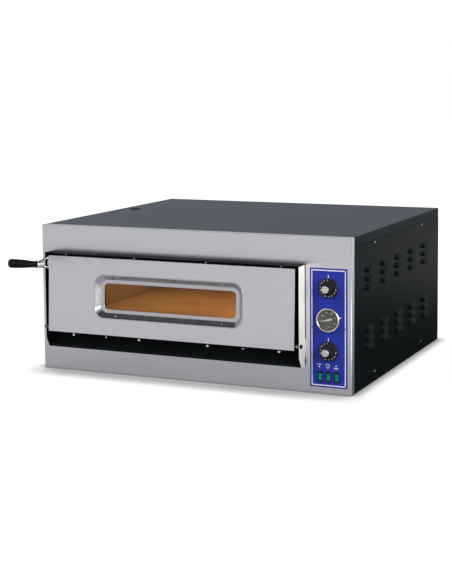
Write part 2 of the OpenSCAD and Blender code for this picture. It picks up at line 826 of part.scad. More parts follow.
// The cheek's side outline, from the fascia to its front edge
module cheek_outline(back, front, z1) polygon([
    [back, hood_z], [front + cheek_chamfer_y, hood_z], [front, hood_z + cheek_chamfer_z],
    [front, z1], [back, z1]
]);

module hood_shroud() color(black) difference() {
    union() {
        for (x = [hood_x0 + sheet, hood_x1 - 2 * sheet])
            translate([x, 0, 0]) along_x(sheet) cheek_outline(front_y, hood_front, hood_top - sheet);
        block([hood_x0, hood_front, hood_top - sheet], [hood_x1, front_y, hood_top]);
        block([hood_x0 + sheet, hood_front, hood_top - hood_lip],
              [hood_x1 - sheet, hood_front + sheet, hood_top]);
    }
    pivot_holes(pivot_r + pin_fit);
    at_lip_screws() screw_hole_small();
}

module cheek_covers() color(steel) difference() {
    union() for (x = [hood_x0, hood_x1 - sheet]) translate([x, 0, 0]) {
        along_x(sheet) cheek_outline(front_y - cheek_gap, hood_front + 0.6, hood_top - sheet);
        block([0, front_y - cheek_gap - 5, hood_z + 20],
              [sheet, front_y, hood_z + 20 + cheek_tab_h]);
    }
    pivot_holes(pivot_r + pin_fit);
}

module hood_sill() color(black) {
    x = hood_x0 + 2 * sheet;
    w = hood_w - 4 * sheet;
    z = hood_z + sheet;
    front = hood_front + cheek_chamfer_y;
    difference() {
        translate([x, 0, 0]) along_x(w) union() {
            polygon([[front_y, z + sill_h], [front_y - sheet, z + sill_h],
                     [front_y - sheet - sill_slope, z], [front_y - sill_slope, z]]);
            polygon([[front, hood_z], [front_y, hood_z], [front_y, z], [front, z]]);
            polygon([[front, hood_z], [front + sheet, hood_z], [front + sheet, z + 5], [front, z + 5]]);
        }
        at_sill_screws() { screw_hole(); screw_hole(); }
    }
}

module screw_hole_small() translate([0, 0, -8]) cylinder(h = 12, r = small_screw_r + screw_clear);
module hood_screws() color(chrome) {
    at_sill_screws() {
        screw(4.2, 2.6, screw_r, 9);
        screw(2.6, 1.6, screw_r, 9);
    }
    at_lip_screws() screw(2, 0.9, small_screw_r, 4);
}

// ---- control panel ----

module at_knobs() for (z = knob_zs) translate([panel_x, panel_y, z]) rotate([90, 0, 0]) children();
module at_gauge() translate([panel_x, panel_y, gauge_z]) rotate([90, 0, 0]) children();
module switch_holes(y0, y1) for (x = switch_xs)
    translate([x, 0, switch_z]) along_y(y0, y1) square(switch_cut, center = true);

module control_plate() color(blue) difference() {
    block([panel_x - panel_w / 2, panel_y, panel_z], [panel_x + panel_w / 2, front_y, panel_z + panel_h]);
    at_knobs() translate([0, 0, -5]) cylinder(h = 10, r = spindle_r + 1);
    at_gauge() translate([0, 0, -5]) cylinder(h = 10, r = case_r);
    switch_holes(panel_y - 1, front_y + 1);
    at_rivets() screw_hole_small();
}
module control_plate_rivets() color(brass) at_rivets() {
    cylinder(h = 0.8, r = rivet_r);
    translate([0, 0, -4]) cylinder(h = 4.1, r = small_screw_r);
}

// Each thermostat sits behind the fascia, and its neck fills the hole behind the plate
module thermostats() color(white) for (z = knob_zs)
    translate([panel_x, front_y, z]) rotate([90, 0, 0]) difference() {
        union() {
            translate([-thermostat_w / 2, -thermostat_w / 2, -sheet - thermostat_d])
                cube([thermostat_w, thermostat_w, thermostat_d]);
            translate([0, 0, -sheet - 1]) cylinder(h = sheet + 1, r = boss_r);
        }
        translate([0, 0, -sheet - spindle_in - 1]) cylinder(h = spindle_in + 20, r = spindle_r + pin_fit);
    }

// Where each probe enters the chamber: depth, height at the control and height in the chamber
function probe_r() = 1;
function bulb_r() = 3;
function probes() = [
    [chamber_y0 + probe_in, knob_zs[0], ceiling_z - probe_drop],
    [chamber_y0 + probe_in + probe_step, gauge_z, floor_z + probe_up],
    [chamber_y0 + probe_in + 2 * probe_step, knob_zs[1], bay_z + bay_h * 2 / 3]
];
module sensor_probes() color(brass) for (p = probes()) {
    back = p[1] == gauge_z ? panel_y + case_d : front_y + sheet + thermostat_d;
    x = chamber_x1 - bulb_r() - run_gap;
    corner = [panel_x - probe_aside, p[0], p[2]];
    bar([corner[0], back, p[1]], corner, probe_r());
    bar(corner, [x, p[0], p[2]], probe_r());
    translate(corner) sphere(r = probe_r() * 1.4);
    bar([x, p[0] - 2, p[2]], [x, p[0] + bulb_l, p[2]], bulb_r());
}

module gauge_case() color("dimgray") at_gauge() difference() {
    translate([0, 0, -case_d]) cylinder(h = case_d + 2, r = case_r);
    translate([0, 0, -case_d + 2]) cylinder(h = case_d + 3, r = case_r - 1);
}
module gauge_bezel() color(chrome) at_gauge() {
    rotate_extrude() polygon([
        [case_r, 0], [gauge_r, 0], [gauge_r, bezel_out - 2.5], [gauge_r - 1.2, bezel_out - 0.6],
        [gauge_r - 2.2, bezel_out], [dial_r, bezel_out - 1], [dial_r, 2], [case_r, 2]
    ]);
    rotate([0, 0, 12]) translate([gauge_r - 0.5, -2, 0]) cube([4, 4, 2]);
}
module gauge_dial() color([0.25, 0.25, 0.24]) at_gauge() translate([0, 0, 2]) {
    difference() {
        cylinder(h = dial_t, r = dial_r);
        translate([0, 0, -1]) cylinder(h = 3, r = 1 + pin_fit);
    }
}
module gauge_glass() color(clear) at_gauge() translate([0, 0, bezel_out - 1 - gauge_glass_t])
    cylinder(h = gauge_glass_t, r = dial_r);
module gauge_needle() color(white) at_gauge() {
    z = 2 + dial_t + run_gap;
    translate([0, 0, 1.2]) cylinder(h = z - 1, r = 1);
    translate([0, 0, z]) rotate([0, 0, needle_angle]) linear_extrude(needle_t)
        polygon([[-needle_tail, -1.1], [0, -1.5], [needle_l, -0.4], [needle_l, 0.4], [0, 1.5],
                 [-needle_tail, 1.1]]);
    translate([0, 0, z]) rotate([0, 0, needle_angle]) translate([-needle_tail, 0, 0])
        cylinder(h = needle_t, r = 2.4);
}

// The housings hold the rockers by two small pins
module switch_housings() color(black) for (x = switch_xs) translate([x, 0, switch_z]) {
    difference() {
        union() {
            along_y(panel_y - switch_out, panel_y) round_rect(switch_w, switch_h, 1.5);
            along_y(panel_y, panel_y + switch_d) square(switch_cut, center = true);
        }
        along_y(panel_y - switch_out - 1, rocker_axis_y + 9)
            square([rocker_w + 2 * run_gap, rocker_h + 2 * run_gap], center = true);
        translate([-rocker_w / 2 - 1, rocker_axis_y, 0]) rotate([0, 90, 0])
            cylinder(h = rocker_w + 2, r = rocker_pin_r + pin_fit);
    }
}
// A rocker at rest tips its lower half in
module rocker(i) color(green) translate([switch_xs[i], rocker_axis_y, switch_z]) {
    reach = rocker_axis_y - panel_y + switch_out;
    rotate([rocker_throw / 2, 0, 0]) intersection() {
        translate([-rocker_w / 2, 0, 0]) along_x(rocker_w) polygon([
            [3, -rocker_h * 0.28], [-reach - rocker_out, -rocker_h / 2 + 0.6],
            [-reach, 0], [-reach - rocker_out, rocker_h / 2 - 0.6], [3, rocker_h * 0.28]
        ]);
        translate([-rocker_w, 0, 0]) rotate([0, 90, 0]) cylinder(h = 2 * rocker_w, r = rocker_h * 0.62);
    }
    translate([-rocker_w / 2 - 0.9, 0, 0]) rotate([0, 90, 0]) cylinder(h = rocker_w + 1.8, r = rocker_pin_r);
}
module left_rocker() rocker(0);
module middle_rocker() rocker(1);
module right_rocker() rocker(2);

// ---- knobs ----

module at_knob(i) translate([panel_x, panel_y, knob_zs[i]]) rotate([90, 0, 0]) children();
module knob(i) color(black) at_knob(i) difference() {
    union() {
        translate([0, 0, run_gap]) rotate_extrude() polygon([
            [0, 0], [knob_r, 0], [knob_r, 2], [knob_r - 1, 3], [knob_grip_r + 2, skirt_t], [0, skirt_t]
        ]);
        cylinder_between(skirt_t, knob_out - 1, knob_grip_r, knob_grip_r - 2.5);
    }
    for (a = [0:30:330]) rotate([0, 0, a]) translate([knob_grip_r + 1, 0, skirt_t + 1])
        cylinder(h = knob_out, r = 2);
    translate([0, 0, -1]) cylinder(h = spindle_grip + 3, r = spindle_r + pin_fit);
}
module cylinder_between(z0, z1, r0, r1) translate([0, 0, z0]) cylinder(h = z1 - z0, r1 = r0, r2 = r1);
module knob_cap(i) color(chrome) at_knob(i) {
    cylinder_between(knob_out - 1, knob_out - 0.3, cap_r, cap_r);
    cylinder_between(knob_out - 0.3, knob_out, cap_r, cap_r - 0.8);
}
module spindle(i) color("gray") at_knob(i)
    translate([0, 0, -panel_t - sheet - spindle_in])
        cylinder(h = panel_t + sheet + spindle_in + spindle_grip, r = spindle_r);
module upper_knob() knob(0);
module upper_knob_cap() knob_cap(0);
module upper_spindle() spindle(0);
module lower_knob() knob(1);
module lower_knob_cap() knob_cap(1);
module lower_spindle() spindle(1);

// ---- wiring at the rear ----

function gland_r() = cable_r + 4.5;
module at_gland() translate([inlet_x, back_y, gland_z]) rotate([-90, 0, 0]) children();
module cable_gland() color(black) at_gland() difference() {
    union() {
        cylinder(h = 5, r = cable_r + 8, $fn = 6);
        translate([0, 0, -20]) cylinder(h = 30, r = gland_r());
        translate([0, 0, 10]) cylinder(h = 9, r1 = cable_r + 6, r2 = cable_r + 3);
        translate([0, 0, -sheet - 7]) cylinder(h = 5.5, r = cable_r + 8, $fn = 6);
    }
    translate([0, 0, -30]) cylinder(h = 60, r = cable_r);
}
module terminal_block() color(white) difference() {
    x0 = inlet_x - terminal_w / 2;
    y0 = back_y - 100;
    union() {
        block([x0, y0, sheet], [x0 + terminal_w, y0 + 24, sheet + 14]);
        block([x0, y0 + 6, sheet + 13], [x0 + terminal_w, y0 + 18, sheet + 22]);
    }
    for (i = [0:terminals - 1])
        translate([x0 + terminal_w * (i + 0.5) / terminals, y0 + 12, sheet + 10]) cylinder(h = 20, r = 2.5);
}

// ---- door ----

// The door's side outline between its leaning front and an upright back
module door_outline(skin, back, z0, z1)
    polygon([[face_y(z0) + skin, z0], [face_y(z1) + skin, z1], [back, z1], [back, z0]]);

module pivot_holes(r) translate([-half_w, pivot_front, pivot_z]) rotate([0, 90, 0])
    cylinder(h = body_w, r = r);

module door_front_panel() color(steel) difference() {
    translate([door_x0, 0, 0]) along_x(door_w) polygon([
        [face_y(door_z), door_z], [face_y(door_top), door_top],
        [face_y(door_top) + sheet, door_top], [face_y(door_z) + sheet, door_z]
    ]);
    at_window() along_y(-5, 5)
        round_rect(window_w + 2 * frame_t + 0.6, window_h + 2 * frame_t + 0.6, window_r + frame_t + 0.3);
}

module door_casing() color(black) difference() {
    translate([door_x0, 0, 0]) along_x(door_w)
        door_outline(sheet, casing_back_y, casing_z, casing_top);
    translate([door_x0 + sheet, 0, 0]) along_x(door_w - 2 * sheet)
        door_outline(-sheet, casing_back_y + 1, casing_z + sheet, casing_top - sheet);
    pivot_holes(pivot_r + pin_fit);
}

module door_inner_panel() color(steel) difference() {
    block([door_x0, casing_back_y, casing_z], [door_x1, door_back_y, casing_top]);
    translate([door_x, 0, window_z]) along_y(door_back_y - 10, door_back_y + 5)
        round_rect(opening_w + 16, opening_h + 16, opening_r);
}

module door_insulation() color(wool) difference() {
    translate([door_x0 + 14, 0, 0]) along_x(door_w - 28)
        door_outline(sheet + wool_gap, casing_back_y - wool_gap, casing_z + sheet, casing_top - sheet);
    translate([door_x, 0, window_z]) along_y(front_y - 60, front_y)
        square([window_w + 2 * frame_t + 6, window_h + 2 * frame_t + 6], center = true);
}

// The dish: a sloping wall between two rounded rectangles, with a flat ring at its foot
module dish_form(grow, depth) hull() {
    along_y(-frame_lip_t, 0) round_rect(window_w + 2 * grow, window_h + 2 * grow, window_r + grow, $fn = 32);
    along_y(depth - dish_slice, depth)
        round_rect(dish_w + 2 * grow, dish_h + 2 * grow, dish_r + grow, $fn = 32);
}
module window_frame() color(chrome) difference() {
    at_window() union() {
        dish_form(frame_t, dish + frame_t);
        along_y(-frame_lip_t, 0) round_rect(window_w + 2 * frame_lip, window_h + 2 * frame_lip,
                                            window_r + frame_lip, $fn = 32);
    }
    at_window() translate([0, -0.01, 0]) dish_form(0, dish);
    at_window() along_y(0, 30) round_rect(opening_w, opening_h, opening_r, $fn = 32);
    at_frame_screws() translate([0, 0, -5]) cylinder(h = 7, r = frame_screw_r + screw_clear);
}

module window_glass() color(clear) {
    at_window() along_y(dish + frame_t, dish + frame_t + glass_t)
        square([pane_w, pane_h], center = true);
    translate([door_x, 0, window_z]) along_y(casing_back_y - glass_t, casing_back_y)
        square([pane_w + 16, pane_h + 16], center = true);
}

module window_screws() color(chrome) at_frame_screws() {
    translate([0, 0, frame_screw_seat]) cylinder(h = 0.8, r = 2 * frame_screw_r);
    translate([0, 0, -3]) cylinder(h = 3.1, r = frame_screw_r);
}

module door_seal() color("dimgray") difference() {
    gap = 4;
    y0 = door_back_y;
    y1 = front_y - sheet - run_gap;
    block([chamber_x0 - gap - seal_w, y0, floor_z - gap - seal_w],
          [chamber_x1 + gap + seal_w, y1, ceiling_z + gap + seal_w]);
    block([chamber_x0 - gap, y0 - 1, floor_z - gap], [chamber_x1 + gap, y1 + 1, ceiling_z + gap]);
}

module at_pivots() for (side = [-1, 1])
    translate([door_x + side * hood_w / 2, pivot_front, pivot_z]) rotate([0, side * 90, 0]) children();
module pivot_bolts() color(black) at_pivots() {
    cylinder_between(run_gap, run_gap + pivot_head_h * 0.5, pivot_head_r, pivot_head_r);
    cylinder_between(run_gap + pivot_head_h * 0.5, run_gap + pivot_head_h, pivot_head_r, pivot_head_r * 0.6);
    cylinder_between(-(hood_w - door_w) / 2 - 10, run_gap + 0.1, pivot_r, pivot_r);
}
module pivot_spacers() color(chrome) at_pivots() difference() {
    cylinder_between(-(hood_w - door_w) / 2, -2 * sheet - run_gap, spacer_r, spacer_r);
    cylinder_between(-30, 5, pivot_r + pin_fit, pivot_r + pin_fit);
}

// ---- handle ----

// The handle's axis as local Z, from where it meets the door
module along_handle() translate(handle_root)
    rotate([0, acos(handle_dir[2]), atan2(handle_dir[1], handle_dir[0])]) children();

module handle_bracket() color(steel) {
    foot_x = door_x0 - foot_t;
    foot_z = handle_root[2] + rod_rise;
    foot_half = rod_spread / 2 + rod_r + 1;
    block([foot_x, foot_y0, foot_z - foot_half], [door_x0, casing_back_y - 8, foot_z + foot_half]);
    for (s = [-1, 1])
        bar([foot_x, foot_y0 + rod_r, foot_z + s * rod_spread / 2],
            neck_point - neck_disc / 2 * handle_dir + [0, 0, s * (neck_r - rod_r)], rod_r);
    along_handle() {
        cylinder_between(handle_neck - neck_disc, handle_neck, neck_r, neck_r);
        cylinder_between(handle_neck - 1, handle_neck + grip_core_l, grip_core_r, grip_core_r);
    }
}

module handle_grip() color(black) along_handle() translate([0, 0, handle_neck]) rotate_extrude()
    difference() {
        union() {
            polygon([[0, 0], [neck_r, 0], [neck_r + 1.2, grip_l * 0.25], [grip_r - 0.6, grip_l * 0.55],
                     [grip_r, grip_l * 0.75], [grip_r, grip_l - grip_r / 2], [0, grip_l - grip_r / 2]]);
            translate([0, grip_l - grip_r / 2]) square([grip_r / 2, grip_r / 2]);
            translate([grip_r / 2, grip_l - grip_r / 2]) intersection() {
                circle(grip_r / 2);
                square(grip_r);
            }
        }
        square([grip_core_r + pin_fit, grip_core_l + 0.5]);
    }

base_tray();
front_fascia();
top_cover();
left_side_panel();
right_side_panel();
rear_panel();
panel_screws();
chamber_side_walls();
chamber_rear_wall();
chamber_ceiling();
chamber_floor_pan();
mouth_frame();
refractory_slabs();
upper_elements();
lower_elements();
element_hangers();
insulation_blankets();
vapour_duct();
lamp_housing();
lamp_bulb();
lamp_glass();
hood_shroud();
cheek_covers();
hood_sill();
hood_screws();
control_plate();
control_plate_rivets();
thermostats();
sensor_probes();
gauge_case();
gauge_bezel();
gauge_dial();
gauge_glass();
switch_housings();
terminal_block();
cable_gland();
chamber_rails();
control_bulkhead();
door_front_panel();
door_casing();
door_inner_panel();
door_insulation();
window_frame();
window_glass();
door_seal();
handle_bracket();
handle_grip();
pivot_bolts();
pivot_spacers();
window_screws();
upper_knob();
upper_knob_cap();
upper_spindle();
lower_knob();
lower_knob_cap();
lower_spindle();
gauge_needle();
left_rocker();
middle_rocker();
right_rocker();
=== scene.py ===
import json
from math import atan2, cos, pi, radians, sin

import bmesh
import bpy
from mathutils import Matrix, Vector
from mathutils.bvhtree import BVHTree

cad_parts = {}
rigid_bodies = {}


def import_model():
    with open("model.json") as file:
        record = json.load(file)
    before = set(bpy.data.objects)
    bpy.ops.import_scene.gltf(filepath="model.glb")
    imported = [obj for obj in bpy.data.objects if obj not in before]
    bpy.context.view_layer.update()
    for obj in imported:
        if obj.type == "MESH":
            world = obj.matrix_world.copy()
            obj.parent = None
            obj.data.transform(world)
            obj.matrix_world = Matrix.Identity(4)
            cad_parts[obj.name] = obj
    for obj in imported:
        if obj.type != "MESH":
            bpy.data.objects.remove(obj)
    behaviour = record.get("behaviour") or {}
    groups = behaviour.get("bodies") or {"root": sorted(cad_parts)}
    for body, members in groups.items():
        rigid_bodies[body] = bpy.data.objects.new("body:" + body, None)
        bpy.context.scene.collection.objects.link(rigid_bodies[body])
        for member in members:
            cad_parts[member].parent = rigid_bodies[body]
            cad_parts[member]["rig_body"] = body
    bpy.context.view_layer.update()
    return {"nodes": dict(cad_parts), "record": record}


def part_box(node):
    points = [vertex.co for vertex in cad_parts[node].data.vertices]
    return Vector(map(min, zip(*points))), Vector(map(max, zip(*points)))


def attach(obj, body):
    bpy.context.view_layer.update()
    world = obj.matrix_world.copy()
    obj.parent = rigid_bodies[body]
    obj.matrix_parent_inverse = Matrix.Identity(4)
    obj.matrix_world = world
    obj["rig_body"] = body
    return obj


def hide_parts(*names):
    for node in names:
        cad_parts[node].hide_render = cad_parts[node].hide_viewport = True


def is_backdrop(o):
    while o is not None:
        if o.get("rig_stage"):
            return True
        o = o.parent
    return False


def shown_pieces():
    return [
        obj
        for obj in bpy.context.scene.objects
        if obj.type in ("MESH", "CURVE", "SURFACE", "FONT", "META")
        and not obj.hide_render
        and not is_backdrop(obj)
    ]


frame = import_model()
cad = frame["nodes"]
slotOf = {part["node"]: part["material_slot"] for part in frame["record"]["subparts"]}
mm = 0.001
print("frame loaded")

# Places in the photograph's frame, in pixels
imagePoints = {
    "objectLeft": (8.0, None),
    "objectRight": (437.7, None),
    "objectTop": (None, 198.1),
    "objectBottom": (None, 397.2),
    "frontTopLeft": (43.6, 225.2),
    "frontTopRight": (351.3, 237.2),
    "frontBottomLeft": (43.8, 366.8),
    "backTopRight": (437.7, 207.7),
    "doorTopLeft": (49.9, 254.3),
    "doorBottomRight": (293.2, 351.0),
    "upperKnobCap": (323.9, 289.3),
    "lowerKnobCap": (324.2, 352.7),
    "gaugeMiddle": (327.2, 319.8),
    "vapourHole": (135.3, 209.2),
    "upperIndex": (328.3, 276.8),
    "lowerIndex": (328.3, 339.8),
    "sideMark": (337.4, 287.2),
    "lineTopLeft": (311.4, 269.4),
    "leftIcon": (319.4, 365.2),
    "rightIcon": (336.1, 367.6),
}

# ---- camera ----

cameraSettings = {
    "place": (1.552, -3.559, 0.818),
    "turn": 24.53,      # degrees to the left of +Y
    "tilt": -5.66,
    "roll": -0.53,
    "lens": 83.5,
    "sensor": 36.0,
    "shiftX": 0.0,
    "shiftY": -0.15,
    "frame": (452, 584),
}


def makeCamera():
    data = bpy.data.cameras.new("photo_camera")
    data.sensor_fit = "AUTO"
    data.sensor_width = cameraSettings["sensor"]
    data.lens = cameraSettings["lens"]
    data.shift_x = cameraSettings["shiftX"]
    data.shift_y = cameraSettings["shiftY"]
    data.clip_start = 0.05
    data.clip_end = 100
    made = bpy.data.objects.new("photo_camera", data)
    turn = Matrix.Rotation(radians(cameraSettings["turn"]), 4, "Z")
    tilt = Matrix.Rotation(radians(90 + cameraSettings["tilt"]), 4, "X")
    roll = Matrix.Rotation(radians(cameraSettings["roll"]), 4, "Z")
    made.matrix_world = Matrix.Translation(cameraSettings["place"]) @ turn @ tilt @ roll
    bpy.context.scene.collection.objects.link(made)
    bpy.context.scene.camera = made
    return made


camera = makeCamera()
bpy.context.view_layer.update()
cameraPlace = camera.matrix_world.copy()
frameW, frameH = cameraSettings["frame"]
longSide = max(frameW, frameH)
focal = longSide * cameraSettings["lens"] / cameraSettings["sensor"]


def rayThrough(x, y):
    # the direction in the oven's frame that an image point looks along
    across = x - frameW / 2 + cameraSettings["shiftX"] * longSide
    up = frameH / 2 - y + cameraSettings["shiftY"] * longSide
    return (cameraPlace.to_3x3() @ Vector((across, up, -focal))).normalized()


def shownAt(place):
    # where a place in the oven's frame shows in the image
    local = cameraPlace.inverted() @ Vector(place)
    x = frameW / 2 - cameraSettings["shiftX"] * longSide - focal * local.x / local.z
    y = frameH / 2 + cameraSettings["shiftY"] * longSide + focal * local.y / local.z
    return x, y


def carrierTree(*pieces):
    bm = bmesh.new()
    for piece in pieces:
        bm.from_mesh(piece.data)
    tree = BVHTree.FromBMesh(bm)
    bm.free()
    return tree


def placedOn(tree, pointName):
    # where an image point lies on what carries the piece
    origin = cameraPlace.translation
    direction = rayThrough(*imagePoints[pointName])
    hit = tree.ray_cast(origin, direction)[0]
    if hit is not None:
        return hit
    steps = [origin + direction * (2 + i * 0.01) for i in range(400)]
    nearest = [tree.find_nearest(step) for step in steps]
    return min(nearest, key=lambda found: found[3])[0]


# ---- materials ----


def shaderOf(material):
    return material.node_tree.nodes["Principled BSDF"]


def newMaterial(name, color, metallic=0.0, roughness=0.5, **sockets):
    made = bpy.data.materials.new(name)
    made.use_nodes = True
    shader = shaderOf(made)
    shader.inputs["Base Color"].default_value = (*color, 1)
    shader.inputs["Metallic"].default_value = metallic
    shader.inputs["Roughness"].default_value = roughness
    for socket, value in sockets.items():
        shader.inputs[socket.replace("_", " ")].default_value = value
    return made


def addNode(owner, kind, settings=None, **inputs):
    # owner is a material or the world; an input takes a value or another node's output
    made = owner.node_tree.nodes.new(kind)
    for name, value in (settings or {}).items():
        setattr(made, name, value)
    for name, value in inputs.items():
        target = made.inputs[name.replace("_", " ")]
        if isinstance(value, bpy.types.NodeSocket):
            join(owner, value, target)
        else:
            target.default_value = value
    return made


def join(owner, output, target):
    owner.node_tree.links.new(output, target)


def drive(material, socket, output):
    # lets a pattern set one of the shader's sockets
    join(material, output, shaderOf(material).inputs[socket])


def coordinates(material, scale=(1, 1, 1), turn=(0, 0, 0)):
    source = addNode(material, "ShaderNodeTexCoord")
    return addNode(material, "ShaderNodeMapping", Vector=source.outputs["Object"], Scale=scale,
                   Rotation=[radians(angle) for angle in turn]).outputs["Vector"]


def noise(material, vector=None, scale=1.0, detail=4.0, roughness=0.5):
    if vector is None:
        vector = coordinates(material)
    return addNode(material, "ShaderNodeTexNoise", Vector=vector, Scale=scale, Detail=detail,
                   Roughness=roughness).outputs["Fac"]


def combined(owner, operation, one, other):
    made = addNode(owner, "ShaderNodeMath", {"operation": operation})
    join(owner, one, made.inputs[0])
    join(owner, other, made.inputs[1])
    return made.outputs[0]


def ramp(owner, value, start, end, low, high, kind="SMOOTHSTEP"):
    # goes from low to high while the value goes from start to end
    return addNode(owner, "ShaderNodeMapRange", {"interpolation_type": kind}, Value=value,
                   From_Min=start, From_Max=end, To_Min=low, To_Max=high).outputs["Result"]


def vary(material, socket, factor, low, high):
    # the middle of a noise, stretched over a range of numbers, sets one of the shader's sockets
    drive(material, socket, ramp(material, factor, 0.3, 0.7, low, high, "LINEAR"))


def tint(material, factor, *stops):
    # the base colour follows a pattern through stops of position and colour
    made = addNode(material, "ShaderNodeValToRGB", Fac=factor)
    elements = made.color_ramp.elements
    while len(elements) < len(stops):
        elements.new(0.5)
    for element, (position, color) in zip(elements, stops):
        element.position = position
        element.color = (*color, 1)
    drive(material, "Base Color", made.outputs["Color"])


def shaded(color, share):
    return [min(1, c * share) for c in color]


def addBump(material, height, strength, distance, under=None):
    made = addNode(material, "ShaderNodeBump", Height=height, Strength=strength, Distance=distance)
    if under is not None:
        join(material, under, made.inputs["Normal"])
    drive(material, "Normal", made.outputs["Normal"])
    return made.outputs["Normal"]


def brushedSteel(name, color, roughness, along, contrast=0.05, metallic=1.0):
    # fine grain along one axis, with soft patches where the sheet was handled
    made = newMaterial(name, color, metallic=metallic, roughness=roughness)
    grain = [1400, 1400, 1400]
    grain["XYZ".index(along)] = 9
    streaks = noise(made, coordinates(made, grain), detail=3)
    patches = noise(made, coordinates(made, (5, 5, 5)), detail=5, roughness=0.6)
    both = addNode(made, "ShaderNodeMix", Factor=0.5, A=streaks, B=patches).outputs["Result"]
    vary(made, "Roughness", both, roughness - 0.02, roughness + 0.03)
    tint(made, both, (0.3, shaded(color, 1 - contrast)), (0.7, shaded(color, 1 + contrast)))
    addBump(made, streaks, 0.03, 0.00003)
    return made


def spreadSideways(made, amount):
    # reflections spread along the sheet's width and stay sharper from top to bottom
    width = addNode(made, "ShaderNodeCombineXYZ", X=1.0)
    width.inputs["Y"].default_value = 0.02  # a sheet's ends face along X and need a direction too
    shaderOf(made).inputs["Anisotropic"].default_value = amount
    drive(made, "Tangent", width.outputs["Vector"])
    return made


def paintedSheet(name, color, roughness, specular, sheen=(1, 1, 1)):
    # sprayed paint: a faint orange-peel skin and soft changes of gloss
    made = newMaterial(name, color, roughness=roughness, Specular_IOR_Level=specular,
                       Specular_Tint=(*sheen, 1))
    peel = noise(made, scale=900, detail=2)
    patches = noise(made, scale=6, detail=4)
    vary(made, "Roughness", patches, roughness - 0.04, roughness + 0.05)
    tint(made, patches, (0.3, shaded(color, 0.88)), (0.7, shaded(color, 1.12)))
    addBump(made, peel, 0.15, 0.00006)
    return made


def shadedFlanges(made, color, share):
    # painted shade: the folded sides of a cover are coloured darker than its top, by how steeply they
    # face, as if less light falls on them
    facing = addNode(made, "ShaderNodeNewGeometry")
    parts = addNode(made, "ShaderNodeSeparateXYZ", Vector=facing.outputs["True Normal"])
    under = shaderOf(made).inputs["Base Color"].links[0].from_socket
    mixed = addNode(made, "ShaderNodeMix", {"data_type": "RGBA"}, Factor=parts.outputs["Z"],
                    A=(*shaded(color, share), 1), B=under)
    drive(made, "Base Color", mixed.outputs["Result"])
    return made


def shadedFoot(made, low, high, share):
    # painted shade: a pale strip whose colour darkens towards its foot, where less light reaches it
    parts = addNode(made, "ShaderNodeSeparateXYZ", Vector=coordinates(made))
    under = shaderOf(made).inputs["Base Color"].links[0].from_socket
    darker = addNode(made, "ShaderNodeVectorMath", {"operation": "SCALE"}, Vector=under,
                     Scale=ramp(made, parts.outputs["Z"], low, high, share, 1))
    drive(made, "Base Color", darker.outputs[0])
    return made


def mouldedPlastic(name, color, roughness, specular=0.5, grain=2600):
    made = newMaterial(name, color, roughness=roughness, Specular_IOR_Level=specular)
    spark = noise(made, scale=grain, detail=2)
    vary(made, "Roughness", spark, roughness - 0.03, roughness + 0.06)
    addBump(made, spark, 0.1, 0.00003)
    return made


def polishedSteel(name, color, roughness):
    made = newMaterial(name, color, metallic=1.0, roughness=roughness)
    wear = noise(made, scale=60, detail=6, roughness=0.65)
    vary(made, "Roughness", wear, roughness * 0.7, roughness * 1.5)
    return made


def bakedClay(name):
    made = newMaterial(name, (0.56, 0.30, 0.14), roughness=0.85, Specular_IOR_Level=0.25)
    clouds = noise(made, scale=9, detail=8, roughness=0.62)
    pores = noise(made, scale=420, detail=4, roughness=0.7)
    tint(made, clouds, (0.25, (0.43, 0.215, 0.095)), (0.5, (0.55, 0.295, 0.14)),
         (0.8, (0.64, 0.37, 0.19)))
    rough = addBump(made, clouds, 0.1, 0.001)
    addBump(made, pores, 0.4, 0.0006, rough)
    return made


def heatedSteel(name, color, burnt):
    # sheet that the heat has turned straw and brown
    made = newMaterial(name, color, metallic=0.55, roughness=0.55)
    clouds = noise(made, scale=5, detail=6, roughness=0.55)
    grain = noise(made, coordinates(made, (12, 12, 700)), detail=3)
    tint(made, clouds, (0.25, burnt), (0.75, color))
    vary(made, "Roughness", clouds, 0.48, 0.66)
    addBump(made, grain, 0.1, 0.0001)
    return made


def mineralWool(name):
    made = newMaterial(name, (0.50, 0.42, 0.24), roughness=0.95, Specular_IOR_Level=0.1)
    fibres = noise(made, coordinates(made, (90, 400, 900), (12, 20, 35)), detail=6, roughness=0.7)
    tufts = noise(made, scale=40, detail=6, roughness=0.65)
    tint(made, tufts, (0.3, (0.38, 0.30, 0.15)), (0.7, (0.60, 0.52, 0.32)))
    low = addBump(made, tufts, 0.7, 0.004)
    addBump(made, fibres, 0.6, 0.0012, low)
    return made


def wovenBraid(name):
    # two sets of slanting bands that cross each other
    made = newMaterial(name, (0.10, 0.095, 0.085), roughness=0.8, Specular_IOR_Level=0.2)
    bands = []
    for scale in ((1, 1, 1), (-1, 1, 1)):
        wave = addNode(made, "ShaderNodeTexWave", {"bands_direction": "DIAGONAL"},
                       Vector=coordinates(made, scale), Scale=260.0)
        bands.append(wave.outputs["Fac"])
    weave = combined(made, "MAXIMUM", *bands)
    tint(made, weave, (0.2, (0.05, 0.045, 0.04)), (0.8, (0.16, 0.15, 0.13)))
    addBump(made, weave, 0.6, 0.0008)
    return made


def clearPane(name, color, roughness=0.0, bend=1.47):
    made = newMaterial(name, color, roughness=roughness, IOR=bend, Transmission_Weight=1.0)
    smears = noise(made, scale=14, detail=5)
    tint(made, smears, (0.3, shaded(color, 0.97)), (0.7, color))
    return made


def thinGlass(name, color, weight):
    # lets light straight through, so what lies under it is lit evenly
    made = newMaterial(name, color, roughness=0.05, Alpha=weight)
    dust = noise(made, scale=40, detail=5)
    vary(made, "Alpha", dust, weight * 0.8, weight * 1.2)
    return made


